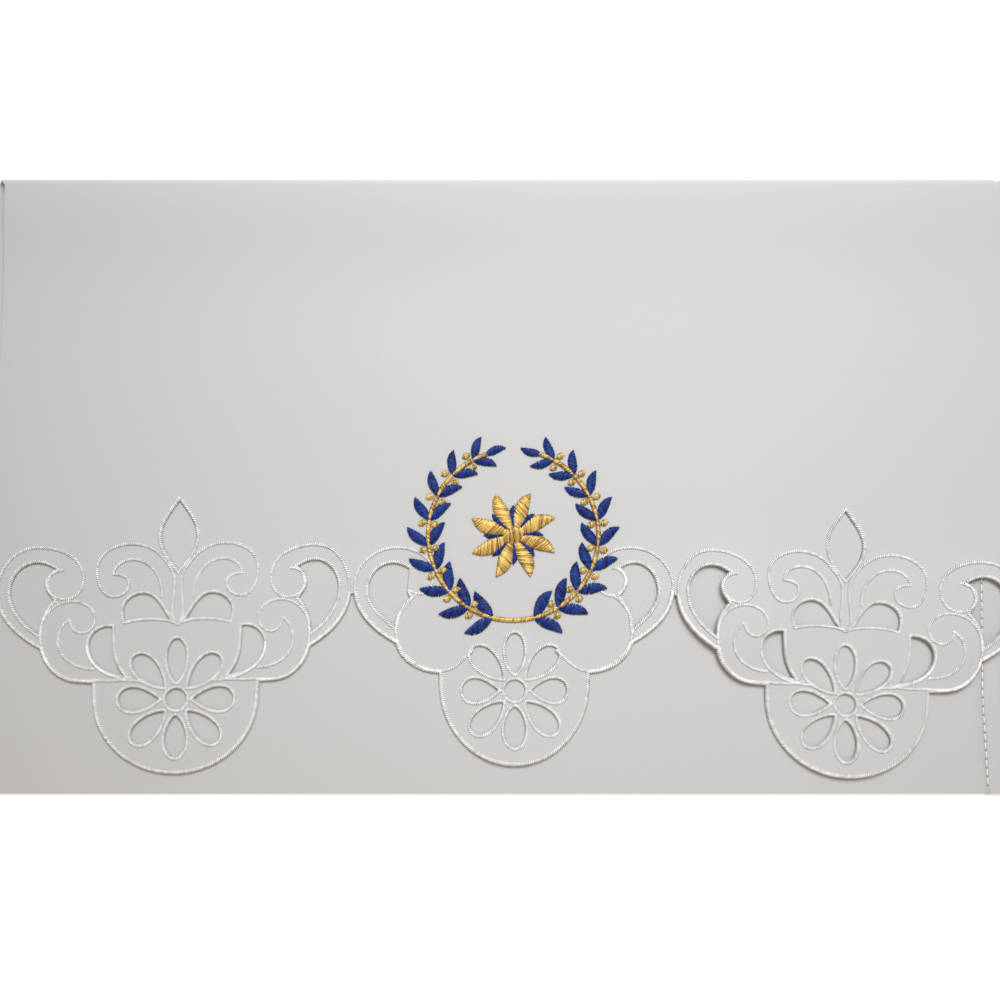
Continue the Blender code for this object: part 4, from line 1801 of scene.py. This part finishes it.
@dataclass
class HemStitching:
    """The lockstitches that hold the side hem. Each stitch's ends are sunk and its middle bows up."""

    shape: ClothShape
    radius: float = 0.26
    stations: int = 9
    rise: float = 1.5
    sink: float = 0.8
    waver: float = 0.04
    least_shade: float = 0.6
    seed: int = 5

    def build(self, material: Material) -> Object:
        """Make the stitches on both layers' upper sides.

        Args:
            material: The white thread's material.

        Returns:
            The object.
        """
        threads = ThreadMesh(self.shape)
        rng = np.random.default_rng(self.seed)
        shape = self.shape
        starts = np.arange(HEM_SEAM.first, shape.end - HEM_SEAM.pitch, HEM_SEAM.pitch)
        starts = starts[(starts < shape.back - HEM_SEAM.pitch) | (starts > shape.turned)]
        share = np.linspace(0.0, 1.0, self.stations)
        v = starts[:, None] + share[None, :] * HEM_SEAM.length
        x = HEM_SEAM.x(shape, v) + rng.normal(0.0, self.waver, len(v))[:, None]
        right, wrong = shape.skins(x.ravel(), v.ravel())
        upper = (v.ravel() < shape.back)[:, None]
        centre = np.where(upper, right, wrong).reshape(*v.shape, 3)
        bow = np.sin(np.pi * share) ** 0.5
        centre[..., 2] += self.radius * (bow * self.rise - self.sink)
        side = np.zeros_like(centre)
        side[..., 0] = self.radius * (0.5 + 0.5 * bow)
        lift = np.zeros_like(centre)
        lift[..., 2] = self.radius
        # Painted sparkle: a random shade for each stitch, never below least_shade.
        shades = self.least_shade + (1 - self.least_shade) * rng.random(len(v))
        threads.add_tubes(centre, side, lift, shades)
        return threads.piece("hem_stitches", material, "white_twill")


@dataclass(frozen=True)
class Lamp:
    """A soft light: place and aim in metres, two sides, power, colour and beam in degrees."""

    name: str
    place: tuple[float, float, float]
    aim: tuple[float, float, float]
    size: tuple[float, float]
    power: float
    colour: tuple[float, float, float]
    spread: float


LAMPS = (
    Lamp(
        "key_light", place=(0.085, 0.35, 0.57), aim=(0.01, -0.075, 0.0), size=(0.36, 0.26),
        power=1.465, colour=(0.895, 0.965, 1.0), spread=95.0,
    ),
    Lamp(
        "warm_light", place=(0.0, -0.30, 0.26), aim=(0.0, 0.0, 0.0), size=(0.3, 0.2),
        power=0.089, colour=(1.0, 0.74, 0.42), spread=180.0,
    ),
)
FLOOR_VALUES = {
    "Base Color": (0.95, 0.95, 0.95, 1.0),
    "Emission Color": (1.0, 1.0, 1.0, 1.0),
    "Emission Strength": 0.35,
    "Roughness": 0.9,
    "Specular IOR Level": 0.1,
}


@dataclass
class Studio:
    """The pale floor, the soft lights and the camera over the cloth."""

    shape: ClothShape
    camera_height: float = 0.36
    pictured_height: float = 0.0023
    nearest: float = 0.01
    sensor: float = 36.0
    floor_reach: float = 3.0
    floor_drop: float = 0.0002
    world_colour: tuple[float, float, float] = (1.0, 0.865, 0.80)
    world_strength: float = 0.4

    def floor(self) -> None:
        """Lay the plain pale floor."""
        corners = np.array(((-1.0, -1.0), (1.0, -1.0), (1.0, 1.0), (-1.0, 1.0))) * self.floor_reach
        level = np.full(len(corners), -self.floor_drop)
        floor = new_object("floor", np.column_stack((corners, level)), [(0, 1, 2, 3)])
        floor.data.materials.append(Coat("floor", FLOOR_VALUES).material)

    def light(self, lamp: Lamp) -> None:
        """Hang a soft light that faces the cloth.

        Args:
            lamp: The light's settings.
        """
        data = bpy.data.lights.new(lamp.name, "AREA")
        data.shape = "RECTANGLE"
        data.size, data.size_y = lamp.size
        data.spread = math.radians(lamp.spread)
        data.energy = lamp.power
        data.color = lamp.colour
        hung = link(lamp.name, data)
        hung.location = lamp.place
        aim = Vector(lamp.place) - Vector(lamp.aim)
        hung.rotation_euler = aim.to_track_quat("Z", "Y").to_euler()

    def camera(self) -> None:
        """Put the camera straight over the middle of the pictured cloth."""
        data = bpy.data.cameras.new("camera")
        data.sensor_width = self.sensor
        reach = self.camera_height - self.pictured_height
        data.lens = self.sensor * reach / (PHOTO_WIDTH * PHOTO_SCALE * MM)
        data.clip_start = self.nearest
        camera = link("camera", data)
        middle_y = (PHOTO_MIDDLE_Y - PHOTO_WIDTH / 2) * PHOTO_SCALE
        camera.location = (-self.shape.origin_x * MM, middle_y * MM, self.camera_height)
        bpy.context.scene.camera = camera

    def build(self) -> None:
        """Set up the whole studio."""
        scene = bpy.context.scene
        scene.view_settings.view_transform = "Standard"
        scene.world = bpy.data.worlds.new("world")
        scene.world.use_nodes = True
        background = scene.world.node_tree.nodes["Background"]
        background.inputs["Color"].default_value = (*self.world_colour, 1.0)
        background.inputs["Strength"].default_value = self.world_strength
        self.floor()
        for lamp in LAMPS:
            self.light(lamp)
        self.camera()


def main() -> None:
    """Build the cloth, its stitching and the studio, in order."""
    logging.basicConfig(level=logging.INFO, format="%(name)s: %(message)s")
    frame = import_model()
    log.info("frame loaded: %s", type(frame).__name__)
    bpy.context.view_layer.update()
    shape = ClothShape()
    finishes = Finishes()
    Studio(shape).build()
    wreath = Wreath(shape)
    AltarCloth(shape, MOTIFS).build(finishes.twill)
    ends = (End.LEFT, End.NONE, End.RIGHT)
    for index, (motif, end) in enumerate(zip(MOTIFS, ends)):
        SatinEdging(shape, motif, wreath, seed=EDGING_SEED + index, end=end).build(finishes.white)
    wreath.leaves(finishes.blue)
    wreath.gold(finishes.gold)
    HemStitching(shape).build(finishes.white)


if __name__ == "__main__":
    main()
